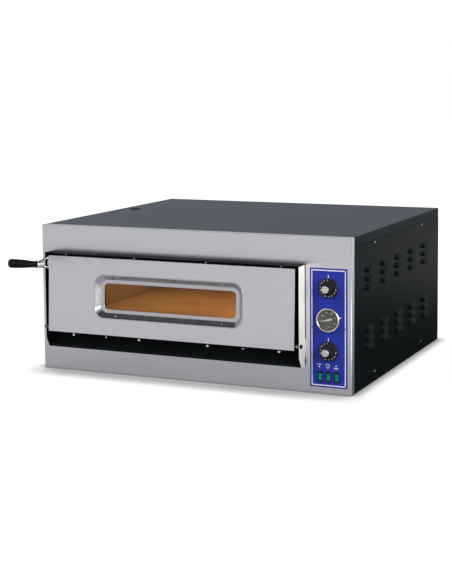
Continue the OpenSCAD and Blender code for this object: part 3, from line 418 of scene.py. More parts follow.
def greenLens(name):
    # ribs inside a glossy lens
    made = newMaterial(name, (0.002, 0.29, 0.24), roughness=0.3, Specular_IOR_Level=0.08)
    ribs = addNode(made, "ShaderNodeTexWave", {"bands_direction": "Z"}, Vector=coordinates(made),
                   Scale=420.0, Distortion=0.4).outputs["Fac"]
    tint(made, ribs, (0.2, (0.001, 0.19, 0.165)), (0.8, (0.002, 0.30, 0.26)))
    addBump(made, ribs, 0.15, 0.0001)
    return made


def silkPrint(name, color):
    made = newMaterial(name, color, roughness=0.45)
    spots = noise(made, scale=1800, detail=3)
    tint(made, spots, (0.3, shaded(color, 0.86)), (0.6, color))
    return made


finishes = {
    "front_steel": spreadSideways(
        brushedSteel("brushed_front_steel", (0.79, 0.785, 0.85), 0.32, "X", 0.035), 0.88),
    # one dark paint in two copies: the right side panel's is painted darker as shade, and the left
    # panel and rear carry a lighter, lit copy
    "dark_sheet": paintedSheet(
        "dark_sheet_paint", (0.0026, 0.0046, 0.0052), 0.17, 0.013, sheen=(0.7, 1.0, 1.0)),
    "lit_copy_dark_sheet": paintedSheet("lit_copy_dark_sheet_paint", (0.0085, 0.0122, 0.0130), 0.42, 0.22),
    # the top cover's folded sides get painted shade, darker than its top
    "slate_sheet": shadedFlanges(
        paintedSheet("slate_sheet_paint", (0.047, 0.057, 0.075), 0.5, 0.05),
        (0.036, 0.052, 0.064), 0.22),
    "black_sheet": paintedSheet("black_stove_paint", (0.0022, 0.0036, 0.0040), 0.36, 0.007),
    "inner_steel": brushedSteel("brushed_inner_steel", (0.74, 0.725, 0.71), 0.4, "Z"),
    "chamber_steel": heatedSteel("heated_chamber_steel", (0.55, 0.40, 0.27), (0.42, 0.28, 0.17)),
    "refractory": bakedClay("baked_clay"),
    "element_steel": heatedSteel("element_sheath", (0.16, 0.14, 0.13), (0.09, 0.075, 0.07)),
    "mineral_wool": mineralWool("mineral_wool"),
    "lamp_glass": clearPane("lamp_lens_glass", (0.97, 0.97, 0.95), 0.05),
    "bulb_glass": clearPane("bulb_glass", (0.95, 0.92, 0.82), 0.2),
    "screw_steel": polishedSteel("bright_screw_steel", (0.97, 0.97, 0.98), 0.18),
    "blue_plate": paintedSheet("blue_enamel", (0.024, 0.038, 0.345), 0.28, 0.17),
    "rivet_brass": polishedSteel("dull_rivet", (0.36, 0.27, 0.18), 0.4),
    "control_plastic": mouldedPlastic("cream_plastic", (0.60, 0.56, 0.48), 0.45),
    "capillary_copper": brushedSteel("capillary_copper", (0.62, 0.32, 0.18), 0.3, "X"),
    "gauge_case_sheet": paintedSheet("gauge_case_paint", (0.09, 0.09, 0.09), 0.45, 0.4),
    "bezel_steel": polishedSteel("polished_bezel", (0.98, 0.93, 0.85), 0.16),
    "gauge_dial": mouldedPlastic("gauge_dial_enamel", (0.086, 0.080, 0.068), 0.6, 0.05, 300),
    "clear_glass": thinGlass("gauge_glass_clear", (0.3, 0.31, 0.31), 0.06),
    "black_plastic": mouldedPlastic("black_housing_plastic", (0.018, 0.018, 0.019), 0.38, 0.2),
    "knob_plastic": mouldedPlastic("black_knob_plastic", (0.015, 0.015, 0.016), 0.3, 0.16),
    "knob_cap": brushedSteel("turned_cap_metal", (0.88, 0.83, 0.80), 0.26, "X", 0.1),
    "spindle_steel": polishedSteel("spindle_metal", (0.55, 0.55, 0.55), 0.3),
    "needle_white": silkPrint("needle_paint", (0.80, 0.80, 0.78)),
    "green_lens": greenLens("green_rocker_lens"),
    "window_steel": polishedSteel("polished_window_steel", (0.67, 0.67, 0.71), 0.12),
    "door_glass": clearPane("door_pane_glass", (0.98, 0.95, 0.90), 0.0, 1.1),
    "seal_braid": wovenBraid("woven_seal"),
    "bracket_steel": polishedSteel("bracket_metal", (0.58, 0.60, 0.60), 0.28),
    "grip_bakelite": mouldedPlastic("grip_bakelite", (0.005, 0.007, 0.008), 0.2, 0.07),
    "sill_paint": paintedSheet("sill_paint", (0.0075, 0.0100, 0.0105), 0.4, 0.03),
    # the cheek covers are the same steel as the front; their near-white, barely metallic colour is a
    # painted reflection of bright light, with painted shade towards the foot
    "front_steel_painted_bright": shadedFoot(
        brushedSteel("front_steel_painted_bright", (0.98, 0.93, 0.90), 0.5, "Z", 0.02, 0.05), 0.07, 0.24, 0.68),
    "sooted_steel": paintedSheet("sooted_duct_steel", (0.010, 0.009, 0.008), 0.7, 0.05),
    "dull_screw_steel": polishedSteel("dull_screw_steel", (0.52, 0.55, 0.57), 0.34),
    "blackened_screw_steel": polishedSteel("blackened_screw_steel", (0.48, 0.49, 0.50), 0.36),
}
whitePrint = silkPrint("white_print", (0.86, 0.85, 0.87))
goldPrint = silkPrint("gold_print", (0.24, 0.15, 0.07))
print("materials made:", len(finishes) + 2)

# ---- shapes that several pieces use ----

finished = {}  # the piece that stands for each node


def asMesh(bm, name):
    mesh = bpy.data.meshes.new(name)
    bm.to_mesh(mesh)
    bm.free()
    return mesh


def newPiece(name, bm, body, slotName, material=None, sharp=35, evenFlats=False, place=None,
             replaced=None):
    if place is not None:
        bmesh.ops.transform(bm, matrix=place, verts=bm.verts)
    mesh = asMesh(bm, name)
    made = bpy.data.objects.new(name, mesh)
    bpy.context.scene.collection.objects.link(made)
    mesh.materials.append(material or finishes[slotName])
    mesh.shade_smooth()
    if evenFlats:
        weighted = made.modifiers.new("even_flats", "WEIGHTED_NORMAL")
        weighted.mode = "FACE_AREA"
        weighted.keep_sharp = True
    else:
        mesh.set_sharp_from_angle(angle=radians(sharp))
    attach(made, body)
    if replaced:
        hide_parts(replaced)
        finished[replaced] = made


def softenEdges(bm, width, segments=2, angle=35, shortest=0.0, edges=None):
    chosen = [edge for edge in (edges if edges is not None else bm.edges)
              if edge.is_manifold and edge.calc_face_angle() > radians(angle)
              and edge.calc_length() > shortest]
    if chosen:
        bmesh.ops.bevel(bm, geom=chosen, offset=width, offset_type="OFFSET", affect="EDGES",
                        segments=segments, profile=0.5, material=-1, clamp_overlap=True)


def mergedCopy(node):
    bm = bmesh.new()
    bm.from_mesh(cad[node].data)
    bmesh.ops.remove_doubles(bm, verts=bm.verts, dist=0.02 * mm)
    bmesh.ops.dissolve_limit(bm, angle_limit=radians(0.4), use_dissolve_boundaries=False,
                             verts=bm.verts, edges=bm.edges)
    return bm


def onFace(place, box, face):
    # face is an axis and a side of a box, such as "z+"
    axis = "xyz".index(face[0])
    return abs(place[axis] - box[1 if face[1] == "+" else 0][axis]) < 0.01 * mm


def softened(node, edge=0.3, bends=(), bendRadius=2.0, shortest=4.0, segments=2, material=None):
    # the node's own shape with its folds rounded and its edges broken
    bm = mergedCopy(node)
    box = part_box(node)
    folds = [e for e in bm.edges for bend in bends
             if all(onFace(v.co, box, bend[:2]) and onFace(v.co, box, bend[2:]) for v in e.verts)]
    if folds:
        softenEdges(bm, bendRadius * mm, segments=5, edges=folds)
    softenEdges(bm, edge * mm, segments=segments, angle=50, shortest=shortest * mm)
    newPiece(node + "_finished", bm, cad[node]["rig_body"], slotOf[node], finishes.get(material),
             evenFlats=True, replaced=node)


def facing(x, y, z):
    # a matrix that turns local +Z to the front (-Y), with local Y upwards
    return Matrix.Translation((x, y, z)) @ Matrix.Rotation(radians(90), 4, "X")


def turnOutwards(bm):
    bmesh.ops.recalc_face_normals(bm, faces=bm.faces)


def spun(bm, profile, steps=64):
    # a solid of revolution about local Z from (radius, height) pairs in mm
    verts = [bm.verts.new((r * mm, 0, z * mm)) for r, z in profile]
    edges = [bm.edges.new(pair) for pair in zip(verts, verts[1:])]
    bmesh.ops.spin(bm, geom=verts + edges, cent=(0, 0, 0), axis=(0, 0, 1),
                   angle=2 * pi, steps=steps, use_merge=True)
    bmesh.ops.remove_doubles(bm, verts=bm.verts, dist=0.001 * mm)
    turnOutwards(bm)


def turnedPiece(name, profile, body, slotName, steps=64, **options):
    bm = bmesh.new()
    spun(bm, profile, steps)
    newPiece(name, bm, body, slotName, **options)


def facedUp(face):
    if face.normal.z < 0:
        face.normal_flip()
    return face


def flatSheet(bm, width, height):
    # the corners of one flat face about the origin, in local XY
    corners = bmesh.ops.create_grid(bm, x_segments=1, y_segments=1, size=0.5)["verts"]
    bmesh.ops.scale(bm, vec=(width, height, 1), verts=corners)
    return corners


def roundedPlate(bm, width, height, radius, segments=8):
    bmesh.ops.bevel(bm, geom=flatSheet(bm, width, height), offset=radius, offset_type="OFFSET",
                    affect="VERTICES", segments=segments, profile=0.5, material=-1)
    return bm.faces[:][0]


def raised(bm, faces, vector):
    made = bmesh.ops.extrude_face_region(bm, geom=faces)
    verts = [item for item in made["geom"] if isinstance(item, bmesh.types.BMVert)]
    bmesh.ops.translate(bm, vec=vector, verts=verts)
    return [item for item in made["geom"] if isinstance(item, bmesh.types.BMFace)]


def thicken(bm, wall):
    bmesh.ops.solidify(bm, geom=bm.faces[:] + bm.edges[:] + bm.verts[:], thickness=wall * mm)


def addMesh(bm, mesh, place=None):
    if place is not None:
        mesh.transform(place)
    bm.from_mesh(mesh)
    bpy.data.meshes.remove(mesh)


def addShape(bm, extra, place=None):
    # puts one finished bmesh into another
    addMesh(bm, asMesh(extra, "extra"), place)


def addCurve(bm, curve, place=None):
    # turns a curve or a text into faces
    holder = bpy.data.objects.new(curve.name, curve)
    addMesh(bm, bpy.data.meshes.new_from_object(holder), place)
    bpy.data.objects.remove(holder)
    bpy.data.curves.remove(curve)


def addBlock(bm, low, high):
    size = Vector(high) - Vector(low)
    middle = (Vector(high) + Vector(low)) / 2
    place = Matrix.Translation(middle) @ Matrix.Diagonal((*size, 1))
    return bmesh.ops.create_cube(bm, size=1, matrix=place)["verts"]


def addTube(bm, points, radius, cyclic=False, sides=12):
    # a round tube through a line of points
    curve = bpy.data.curves.new("tube", "CURVE")
    curve.dimensions = "3D"
    curve.bevel_depth = radius
    curve.bevel_resolution = sides // 4
    curve.use_fill_caps = True
    spline = curve.splines.new("POLY")
    spline.points.add(len(points) - 1)
    for target, point in zip(spline.points, points):
        target.co = (*point, 1)
    spline.use_cyclic_u = cyclic
    addCurve(bm, curve)


def addText(bm, text, size, place, thickness=0.04, bold=0.0):
    curve = bpy.data.curves.new("numeral", "FONT")
    curve.body = text
    curve.size = size
    curve.align_x = "CENTER"
    curve.align_y = "CENTER"
    curve.extrude = thickness * mm
    curve.offset = bold * size
    curve.resolution_u = 3
    addCurve(bm, curve, place)


# ---- sheet metal and plain parts ----

# edges are broken by 0.3 mm where nothing else is said
plainParts = {
    "base_tray": {"bends": ("z-x-", "z-x+", "z-y+", "x-y+", "x+y+")},
    "front_fascia": {"bends": ("x-y-", "x+y-", "y-z+"), "bendRadius": 1.3},
    "top_cover": {"bends": ("z+x-", "z+x+", "z+y+", "x-y+", "x+y+")},
    # the rear panel takes the lighter, lit copy of the side panels' paint
    "rear_panel": {"material": "lit_copy_dark_sheet"},
    "chamber_side_walls": {},
    "chamber_rear_wall": {},
    "chamber_ceiling": {},
    "chamber_floor_pan": {},
    "mouth_frame": {"edge": 0.6, "bends": ("x-y-", "x+y-", "y-z+", "y-z-"), "bendRadius": 1.0},
    "refractory_slabs": {"edge": 1.2, "segments": 3},
    "upper_elements": {},
    "lower_elements": {},
    "element_hangers": {},
    "vapour_duct": {"material": "sooted_steel"},
    "lamp_housing": {"edge": 0.4},
    "lamp_bulb": {},
    "lamp_glass": {"edge": 0.5},
    "hood_shroud": {"edge": 0.4, "bends": ("y-z+",), "bendRadius": 1.6},
    # the cheek covers take the painted-bright copy of the front steel
    "cheek_covers": {"material": "front_steel_painted_bright"},
    "hood_sill": {"edge": 0.4, "material": "sill_paint"},
    "control_plate": {"edge": 0.25},
    "thermostats": {"edge": 0.8},
    "sensor_probes": {"edge": 0.2},
    "gauge_case": {},
    "terminal_block": {"edge": 0.6},
    "cable_gland": {"edge": 0.6, "shortest": 2.0},
    "chamber_rails": {},
    "control_bulkhead": {},
    "switch_housings": {"edge": 0.5, "shortest": 1.0},
    "door_front_panel": {"edge": 0.45},
    "door_casing": {"edge": 0.4},
    "door_inner_panel": {"edge": 0.4},
    "window_glass": {"edge": 0.5},
    "handle_bracket": {"edge": 0.4},
    "upper_spindle": {},
    "lower_spindle": {},
    "left_rocker": {"edge": 0.7, "shortest": 1.0, "segments": 3},
    "middle_rocker": {"edge": 0.7, "shortest": 1.0, "segments": 3},
    "right_rocker": {"edge": 0.7, "shortest": 1.0, "segments": 3},
}
for node, settings in plainParts.items():
    softened(node, **settings)
for node in ("insulation_blankets", "door_insulation"):
    cad[node].data.materials.clear()
    cad[node].data.materials.append(finishes[slotOf[node]])
print("sheet metal and plain parts:", len(finished))

# ---- side panels ----

sidePanel = {
    "seam": 1.5,
    "sheet": 1.5,
    "louvreL": 64.0,
    "louvreH": 16.5,
    "louvreOut": 7.5,
    "louvreWall": 1.2,
    "louvreShift": -8.0,
    "frontRamp": 15.0,  # lengths over which a louvre's ends rise
    "rearRamp": 9.0,
    "pitch": 127.0,
    "step": 23.0,
    "groups": (127.0, 284.0),
    "across": 22,
    "down": 9,
    "tongueFoot": 17.0,  # the tongue behind the fascia starts this far up
}


def louvrePlaces():
    shift = sidePanel["louvreShift"]
    return [((column * sidePanel["pitch"] + shift) * mm, (group + row * sidePanel["step"]) * mm)
            for column in range(-2, 3) for group in sidePanel["groups"] for row in (-1, 0, 1)]


def pressedLouvre():
    # one louvre about the origin: length along Y, height along Z, pressed out along +X
    length, height = sidePanel["louvreL"] * mm, sidePanel["louvreH"] * mm
    bm = bmesh.new()
    bmesh.ops.create_grid(bm, x_segments=sidePanel["across"], y_segments=sidePanel["down"], size=0.5)
    for v in bm.verts:
        along = sin(pi * v.co.x) / 2
        fall = 0.5 - v.co.y
        front = min(1, (0.5 + along) * length / (sidePanel["frontRamp"] * mm))
        rear = min(1, (0.5 - along) * length / (sidePanel["rearRamp"] * mm))
        front = 0.6 * front + 0.4 * front * front * (3 - 2 * front)
        rear = (1 - (1 - rear) ** 2) ** 0.5
        bulge = sin(fall * pi / 2) ** 1.1
        v.co = (sidePanel["louvreOut"] * mm * front * rear * bulge, along * length, v.co.y * height)
    for face in bm.faces:
        face.normal_update()
    if sum(face.normal.x for face in bm.faces) < 0:
        bmesh.ops.reverse_faces(bm, faces=bm.faces)
    thicken(bm, sidePanel["louvreWall"])
    return asMesh(bm, "louvre")


def makeSidePanel(node, side, material):
    low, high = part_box("right_side_panel")
    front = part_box("front_fascia")[1].y + sidePanel["seam"] * mm
    outer = high.x - sidePanel["louvreOut"] * mm
    bm = bmesh.new()
    turn = Matrix.Rotation(radians(90), 4, "Z") @ Matrix.Rotation(radians(90), 4, "X")
    middle = Matrix.Translation((outer, (front + high.y) / 2, (low.z + high.z) / 2))
    bmesh.ops.transform(bm, matrix=middle @ turn, verts=flatSheet(bm, high.y - front, high.z - low.z))
    halfL, halfH = sidePanel["louvreL"] * mm / 2, sidePanel["louvreH"] * mm / 2
    places = louvrePlaces()
    # the sheet is scored along the louvres' sides, and what they cover is taken out
    columns = sorted({y + s * halfL for y, z in places for s in (-1, 1)})
    rows = sorted({z + s * halfH for y, z in places for s in (-1, 1)})
    scores = [((0, y, 0), (0, 1, 0)) for y in columns] + [((0, 0, z), (0, 0, 1)) for z in rows]
    for spot, across in scores:
        bmesh.ops.bisect_plane(bm, geom=bm.verts[:] + bm.edges[:] + bm.faces[:],
                               plane_co=spot, plane_no=across, dist=0.001 * mm)
    cut = [face for face in bm.faces
           if any(abs(face.calc_center_median().y - y) < halfL and
                  abs(face.calc_center_median().z - z) < halfH for y, z in places)]
    bmesh.ops.delete(bm, geom=cut, context="FACES")
    turnOutwards(bm)
    if bm.faces[:][0].normal.x < 0:
        bmesh.ops.reverse_faces(bm, faces=bm.faces)
    thicken(bm, sidePanel["sheet"])
    louvre = pressedLouvre()
    for y, z in places:
        before = len(bm.verts)
        bm.from_mesh(louvre)
        bm.verts.ensure_lookup_table()
        bmesh.ops.translate(bm, vec=(outer, y, z), verts=bm.verts[before:])
    bpy.data.meshes.remove(louvre)
    inner = outer - sidePanel["sheet"] * mm
    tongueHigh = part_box("top_cover")[0].z - sidePanel["seam"] * mm
    tongueLow = low.z + sidePanel["tongueFoot"] * mm
    addBlock(bm, (low.x, low.y, tongueLow), (inner, front + sidePanel["sheet"] * mm, tongueHigh))
    if side < 0:
        bmesh.ops.scale(bm, vec=(-1, 1, 1), verts=bm.verts)
        bmesh.ops.reverse_faces(bm, faces=bm.faces)
    newPiece(node + "_louvred", bm, "root", slotOf[node], finishes[material], sharp=40,
             replaced=node)


# the right panel's paint is the darker, painted-shade copy; the left panel's is the lighter, lit copy
# of the same paint
makeSidePanel("right_side_panel", 1, "dark_sheet")
makeSidePanel("left_side_panel", -1, "lit_copy_dark_sheet")
print("side panels pressed")

# ---- screws and rivets ----

screwHead = {
    "steps": 28,
    "recess": 0.55,     # shares of the head's radius and height
    "depth": 0.35,
    # shares of radius and height, from the sheet upwards
    "domed": [(1.0, 0.45), (0.93, 0.75), (0.78, 0.93), (0.62, 1.0)],
    "flat": [(1.0, 0.7), (0.9, 1.0)],
    "rearReach": 12.0,  # panel screws this near the rear look backwards
    "sillLean": 8.2,    # degrees
}


def addScrewHead(bm, place, radius, height, domed=True):
    # a pan head with a cross recess; local +Z points away from the sheet
    new = bmesh.new()
    bmesh.ops.create_circle(new, cap_ends=True, segments=screwHead["steps"], radius=radius)
    face = facedUp(new.faces[:][0])
    size, level = 1.0, 0.0
    for wide, tall in screwHead["domed" if domed else "flat"]:
        top = raised(new, [face], (0, 0, (tall - level) * height))[0]
        bmesh.ops.scale(new, vec=(wide / size, wide / size, 1), verts=top.verts)
        face, size, level = top, wide, tall
    if domed:
        bmesh.ops.inset_individual(new, faces=[face], thickness=radius * 0.02)
        for v in face.verts:
            angle = atan2(v.co.y, v.co.x)
            reach = radius * screwHead["recess"] * (0.64 + 0.36 * cos(4 * angle))
            v.co.x, v.co.y = reach * cos(angle), reach * sin(angle)
        raised(new, [face], (0, 0, -height * screwHead["depth"]))
    addShape(bm, new, place)


def islands(node):
    # the vertices of each solid of a node
    bm = mergedCopy(node)
    left = set(bm.verts)
    found = []
    while left:
        reach = [left.pop()]
        group = list(reach)
        while reach:
            for edge in reach.pop().link_edges:
                for v in edge.verts:
                    if v in left:
                        left.discard(v)
                        reach.append(v)
                        group.append(v)
        found.append([v.co.copy() for v in group])
    bm.free()
    return found


def headPlaces(node, guess):
    # a matrix and head radius for each screw; guess gives the head's direction from its middle
    made = []
    for points in islands(node):
        middle = sum(points, Vector()) / len(points)
        axis = guess(middle).normalized()
        reach = [(p - middle).dot(axis) for p in points]
        span = [((p - middle) - axis * (p - middle).dot(axis)).length for p in points]
        radius = max(span)
        rim = [r for r, s in zip(reach, span) if s > radius * 0.98]
        centre = middle + axis * min(rim)
        turn = axis.to_track_quat("Z", "Y").to_matrix().to_4x4()
        made.append((Matrix.Translation(centre) @ turn, radius, max(reach) - min(rim)))
    return made


def panelScrewAxis(middle):
    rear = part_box("rear_panel")[1].y
    if abs(middle.y - rear) < screwHead["rearReach"] * mm:
        return Vector((0, 1, 0))
    return Vector((1 if middle.x > 0 else -1, 0, 0))


def hoodScrewAxis(middle):
    if middle.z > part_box("door_front_panel")[1].z:
        return Vector((0, -1, 0))
    lean = radians(screwHead["sillLean"])
    return Vector((0, -cos(lean), sin(lean)))


def frameScrewAxis(middle):
    low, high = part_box("window_frame")
    return Vector((0, -1, -1 if middle.z > (low.z + high.z) / 2 else 1))


def makeScrews(node, guess, domed=True, size=1.0, material=None, name="heads", chosen=None, shift=0.0):
    bm = bmesh.new()
    aside = Matrix.Translation((shift * mm, 0, 0))
    for place, radius, height in headPlaces(node, guess):
        if chosen is None or chosen(place.translation):
            addScrewHead(bm, aside @ place, radius * size, height * size, domed)
    newPiece(node + "_" + name, bm, cad[node]["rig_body"], slotOf[node], finishes.get(material),
             sharp=40, replaced=node)


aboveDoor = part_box("door_front_panel")[1].z
makeScrews("panel_screws", panelScrewAxis, size=0.8, material="dull_screw_steel")
makeScrews("hood_screws", hoodScrewAxis, size=0.95, name="sill_heads", shift=-3.5,
           chosen=lambda place: place.z < aboveDoor)
makeScrews("hood_screws", hoodScrewAxis, size=0.9, name="lip_heads",
           material="blackened_screw_steel", chosen=lambda place: place.z > aboveDoor)
makeScrews("window_screws", frameScrewAxis)
makeScrews("control_plate_rivets", lambda middle: Vector((0, -1, 0)), domed=False)
print("screws and rivets set")

# ---- door pivots ----

pivot = {"spacerShare": 0.8, "headShare": 0.88, "headDepth": 0.6, "shankR": 4.5}


def makePivots():
    # slimmer than the solids: the spacers and the bolt heads beside the cheeks
    for node, finish in (("pivot_spacers", "dull_screw_steel"), ("pivot_bolts", "knob_plastic")):
        isBolt = node == "pivot_bolts"
        bm = mergedCopy(node)
        low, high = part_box(node)
        middle = (low + high) / 2
        for v in bm.verts:
            around = v.co.yz - middle.yz
            if not isBolt:
                v.co.yz = middle.yz + around * pivot["spacerShare"]
            elif around.length > pivot["shankR"] * mm:
                v.co.yz = middle.yz + around * pivot["headShare"]
        if isBolt:
            # the heads' outer faces move towards their seats
            seat = max(v.co.x for v in bm.verts if abs(v.co.x) < high.x * 0.999)
            sunk = (high.x - seat) * (1 - pivot["headDepth"])
            for v in bm.verts:
                if abs(v.co.x - high.x) < 0.01 * mm:
                    v.co.x = high.x - sunk
                if abs(v.co.x - low.x) < 0.01 * mm:
                    v.co.x = low.x + sunk
        softenEdges(bm, 0.5 * mm, segments=3, angle=40)
        newPiece(node + "_turned", bm, "door", slotOf[node], finishes[finish], evenFlats=True,
                 replaced=node)


makePivots()

# ---- window frame ----

windowFrame = {
    "lean": 2.45,
    "middleUp": 103.5,  # above the door's lower edge
    "steps": 12,
    "wall": 0.5,
    # each loop of the pressing: width, height, corner radius, and how far it stands out
    "loops": [
        (436, 120, 30, 0), (436, 120, 30, 0.3), (435.6, 119.6, 29.8, 0.52), (434.8, 118.8, 29.4, 0.6),
        (431.4, 115.4, 27.7, 0.6), (430.2, 114.2, 27.1, 0.35), (429.2, 113.2, 26.6, -0.5),
        (409.4, 93.4, 21.0, -10.2), (407.4, 91.4, 20.2, -11.5), (405.0, 89.0, 19.4, -12.2),
        (402.4, 86.4, 18.6, -12.5), (387.6, 71.6, 13.2, -12.5), (386.5, 70.5, 12.7, -12.65),
        (386, 70, 12.5, -13.0), (386, 70, 12.5, -13.7),
    ],
}


def windowPlace():
    low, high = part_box("door_front_panel")
    up = windowFrame["middleUp"] * mm
    lean = radians(windowFrame["lean"])
    place = Matrix.Translation(((low.x + high.x) / 2, low.y + up * sin(lean) / cos(lean), low.z + up))
    return place @ Matrix.Rotation(-lean, 4, "X") @ Matrix.Rotation(radians(90), 4, "X")


def makeWindowFrame():
    width, height, radius = [size * mm for size in windowFrame["loops"][0][:3]]
    bm = bmesh.new()
    face = roundedPlate(bm, width, height, radius, windowFrame["steps"])
    face.normal_update()
    facedUp(face)
    arcs = []
    for v in face.verts:
        sideX, sideY = (1 if v.co.x > 0 else -1), (1 if v.co.y > 0 else -1)
        angle = atan2(v.co.y - sideY * (height / 2 - radius), v.co.x - sideX * (width / 2 - radius))
        arcs.append((sideX, sideY, angle))
    for loop in windowFrame["loops"][1:]:
        wide, tall, bend, out = [size * mm for size in loop]
        before = [v.co.copy() for v in face.verts]
        bmesh.ops.inset_individual(bm, faces=[face], thickness=0.01 * mm)
        # the inset keeps the order of the face's corners
        start = min(range(len(before)), key=lambda i: (before[i] - face.verts[0].co).length)
        for k, v in enumerate(face.verts):
            sideX, sideY, angle = arcs[(start + k) % len(arcs)]
            v.co = (sideX * (wide / 2 - bend) + bend * cos(angle),
                    sideY * (tall / 2 - bend) + bend * sin(angle), out)
        arcs = [arcs[(start + k) % len(arcs)] for k in range(len(arcs))]
    bmesh.ops.delete(bm, geom=[face], context="FACES")
    turnOutwards(bm)
    if sum(f.normal.z * f.calc_area() for f in bm.faces) < 0:
        bmesh.ops.reverse_faces(bm, faces=bm.faces)
    thicken(bm, windowFrame["wall"])
    newPiece("window_frame_pressed", bm, "door", "window_steel", evenFlats=True,
             place=windowPlace(), replaced="window_frame")


makeWindowFrame()
print("window frame pressed")

# ---- knobs ----

knob = {
    "skirtR": 25.6,
    "skirtT": 6.0,
    "gripR": 14.0,
    "taper": 2.5,
    "out": 27.0,
    "gap": 0.3,
    "capR": 9.3,
    "flutes": 12,
    "fluteDepth": 1.3,
    "crown": ((0.35, 0.55), (0.45, 0.35), (0.4, 0.2), (0.4, -0.25)),  # steps inwards and forwards
    "firstLabel": 93.0,
    "labelStep": 26.0,
    "labels": [str(value) for value in range(0, 501, 50)],
    "labelSize": 3.5,
    "labelR": 20.8,
}


def gaugeMiddle():
    low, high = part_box("gauge_glass")
    return (low + high) / 2


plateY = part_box("control_plate")[0].y


def knobPlace(level):
    low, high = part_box(level + "_knob")
    return facing((low.x + high.x) / 2, plateY, (low.z + high.z) / 2)


def makeKnob(level):
    bm = bmesh.new()
    r, t, grip = knob["skirtR"], knob["skirtT"], knob["gripR"]
    spun(bm, [(0, knob["gap"]), (r, knob["gap"]), (r, 2.3), (r - 0.9, 3.2), (grip + 2, t + 0.3),
              (0, t + 0.3)], steps=72)
    softenEdges(bm, 0.35 * mm, segments=3, angle=20)
    # the grip: a scalloped circle drawn out with a taper
    top = bmesh.new()
    bmesh.ops.create_circle(top, cap_ends=True, segments=144, radius=grip * mm)
    for v in top.verts:
        scallop = max(0.0, cos(knob["flutes"] * atan2(v.co.y, v.co.x))) ** 2
        v.co.xy *= 1 - knob["fluteDepth"] / grip * scallop
    base = facedUp(top.faces[:][0])
    bmesh.ops.translate(top, vec=(0, 0, (t + 0.2) * mm), verts=top.verts)
    height = knob["out"] - 1 - t
    shrink = (grip - knob["taper"]) / grip
    face = raised(top, [base], (0, 0, height * 0.93 * mm))[0]
    bmesh.ops.scale(top, vec=(shrink, shrink, 1), verts=face.verts)
    for inwards, forwards in knob["crown"]:
        bmesh.ops.inset_individual(top, faces=[face], thickness=inwards * mm, depth=forwards * mm,
                                   use_even_offset=True)
    addShape(bm, top)
    newPiece(level + "_knob_turned", bm, level + "_dial", "knob_plastic", sharp=50,
             place=knobPlace(level), replaced=level + "_knob")


def makeKnobLabels(level):
    bm = bmesh.new()
    slope = atan2(knob["skirtT"] - 2.9, knob["skirtR"] - knob["gripR"] - 2.9)
    r = knob["labelR"] * mm
    lift = (3.2 + (knob["skirtR"] - 0.9 - knob["labelR"]) * sin(slope) / cos(slope) + 0.1) * mm
    for i, label in enumerate(knob["labels"]):
        angle = radians(knob["firstLabel"] + i * knob["labelStep"])
        around = Matrix.Rotation(angle - pi / 2, 4, "Z")
        tilt = Matrix.Rotation(-slope, 4, "X")
        place = knobPlace(level) @ around @ Matrix.Translation((0, r, lift)) @ tilt
        addText(bm, label, knob["labelSize"] * mm, place, bold=0.02)
    newPiece(level + "_knob_numerals", bm, level + "_dial", "needle_white", whitePrint)


def makeKnobCap(level):
    r, out = knob["capR"], knob["out"]
    profile = [(0, out - 1), (r, out - 1), (r, out - 0.5), (r - 0.5, out - 0.06), (r - 1.0, out),
               (r * 0.55, out - 0.05), (0, out - 0.12)]
    turnedPiece(level + "_knob_cap_turned", profile, level + "_dial", "knob_cap", sharp=60,
                place=knobPlace(level), replaced=level + "_knob_cap")


for level in ("upper", "lower"):
    makeKnob(level)
    makeKnobLabels(level)
    makeKnobCap(level)
print("knobs turned")

# ---- gauge ----

gauge = {
    "r": 31.0,
    "ring": 3.6,
    "out": 8.5,
    "seat": 27.0,
    "dialZ": 3.0,
    "latchAngle": 12.0,
    "tickR": 23.8,
    "ticks": ((2.6, 0.55), (1.4, 0.3)),  # length and width of the long and the short ones
    "arcR": (24.2, 24.9),
    "labelR": 18.6,
    "firstLabel": 189.0,
    "labelStep": 42.8,
    "labels": ["0", "100", "200", "300", "400", "500"],
    "labelSize": 4.0,
    "unitAt": (0.5, -17.5),
    "needleAngle": 194.0,
    "needleL": 18.5,
    "needleTail": 8.0,
}
gaugeFacing = facing(gaugeMiddle().x, plateY, gaugeMiddle().z)


def makeBezel():
    bm = bmesh.new()
    r, out, seat = gauge["r"], gauge["out"], gauge["seat"]
    spun(bm, [(seat, 0), (r, 0), (r, out - 2.6), (r - 0.35, out - 1.2), (r - 1.2, out - 0.35),
              (r - 2.1, out), (r - 2.9, out - 0.3), (r - gauge["ring"], out - 1.1),
              (r - gauge["ring"], 2), (seat, 2), (seat, 0)], steps=96)
    latch = bmesh.new()
    addBlock(latch, ((r - 0.5) * mm, -2 * mm, 0), ((r + 3.5) * mm, 2 * mm, 2 * mm))
    softenEdges(latch, 0.6 * mm, segments=3)
    addShape(bm, latch, Matrix.Rotation(radians(gauge["latchAngle"]), 4, "Z"))
    newPiece("gauge_bezel_turned", bm, "root", "bezel_steel", sharp=50, place=gaugeFacing,
             replaced="gauge_bezel")


def makeDial():
    r, z = gauge["r"] - gauge["ring"] - 0.6, gauge["dialZ"]
    profile = [(0, z - 1), (r, z - 1), (r, z + 0.6), (r - 1.2, z), (0, z)]
    turnedPiece("gauge_dial_plate", profile, "root", "gauge_dial", steps=96, sharp=30,
                place=gaugeFacing, replaced="gauge_dial")


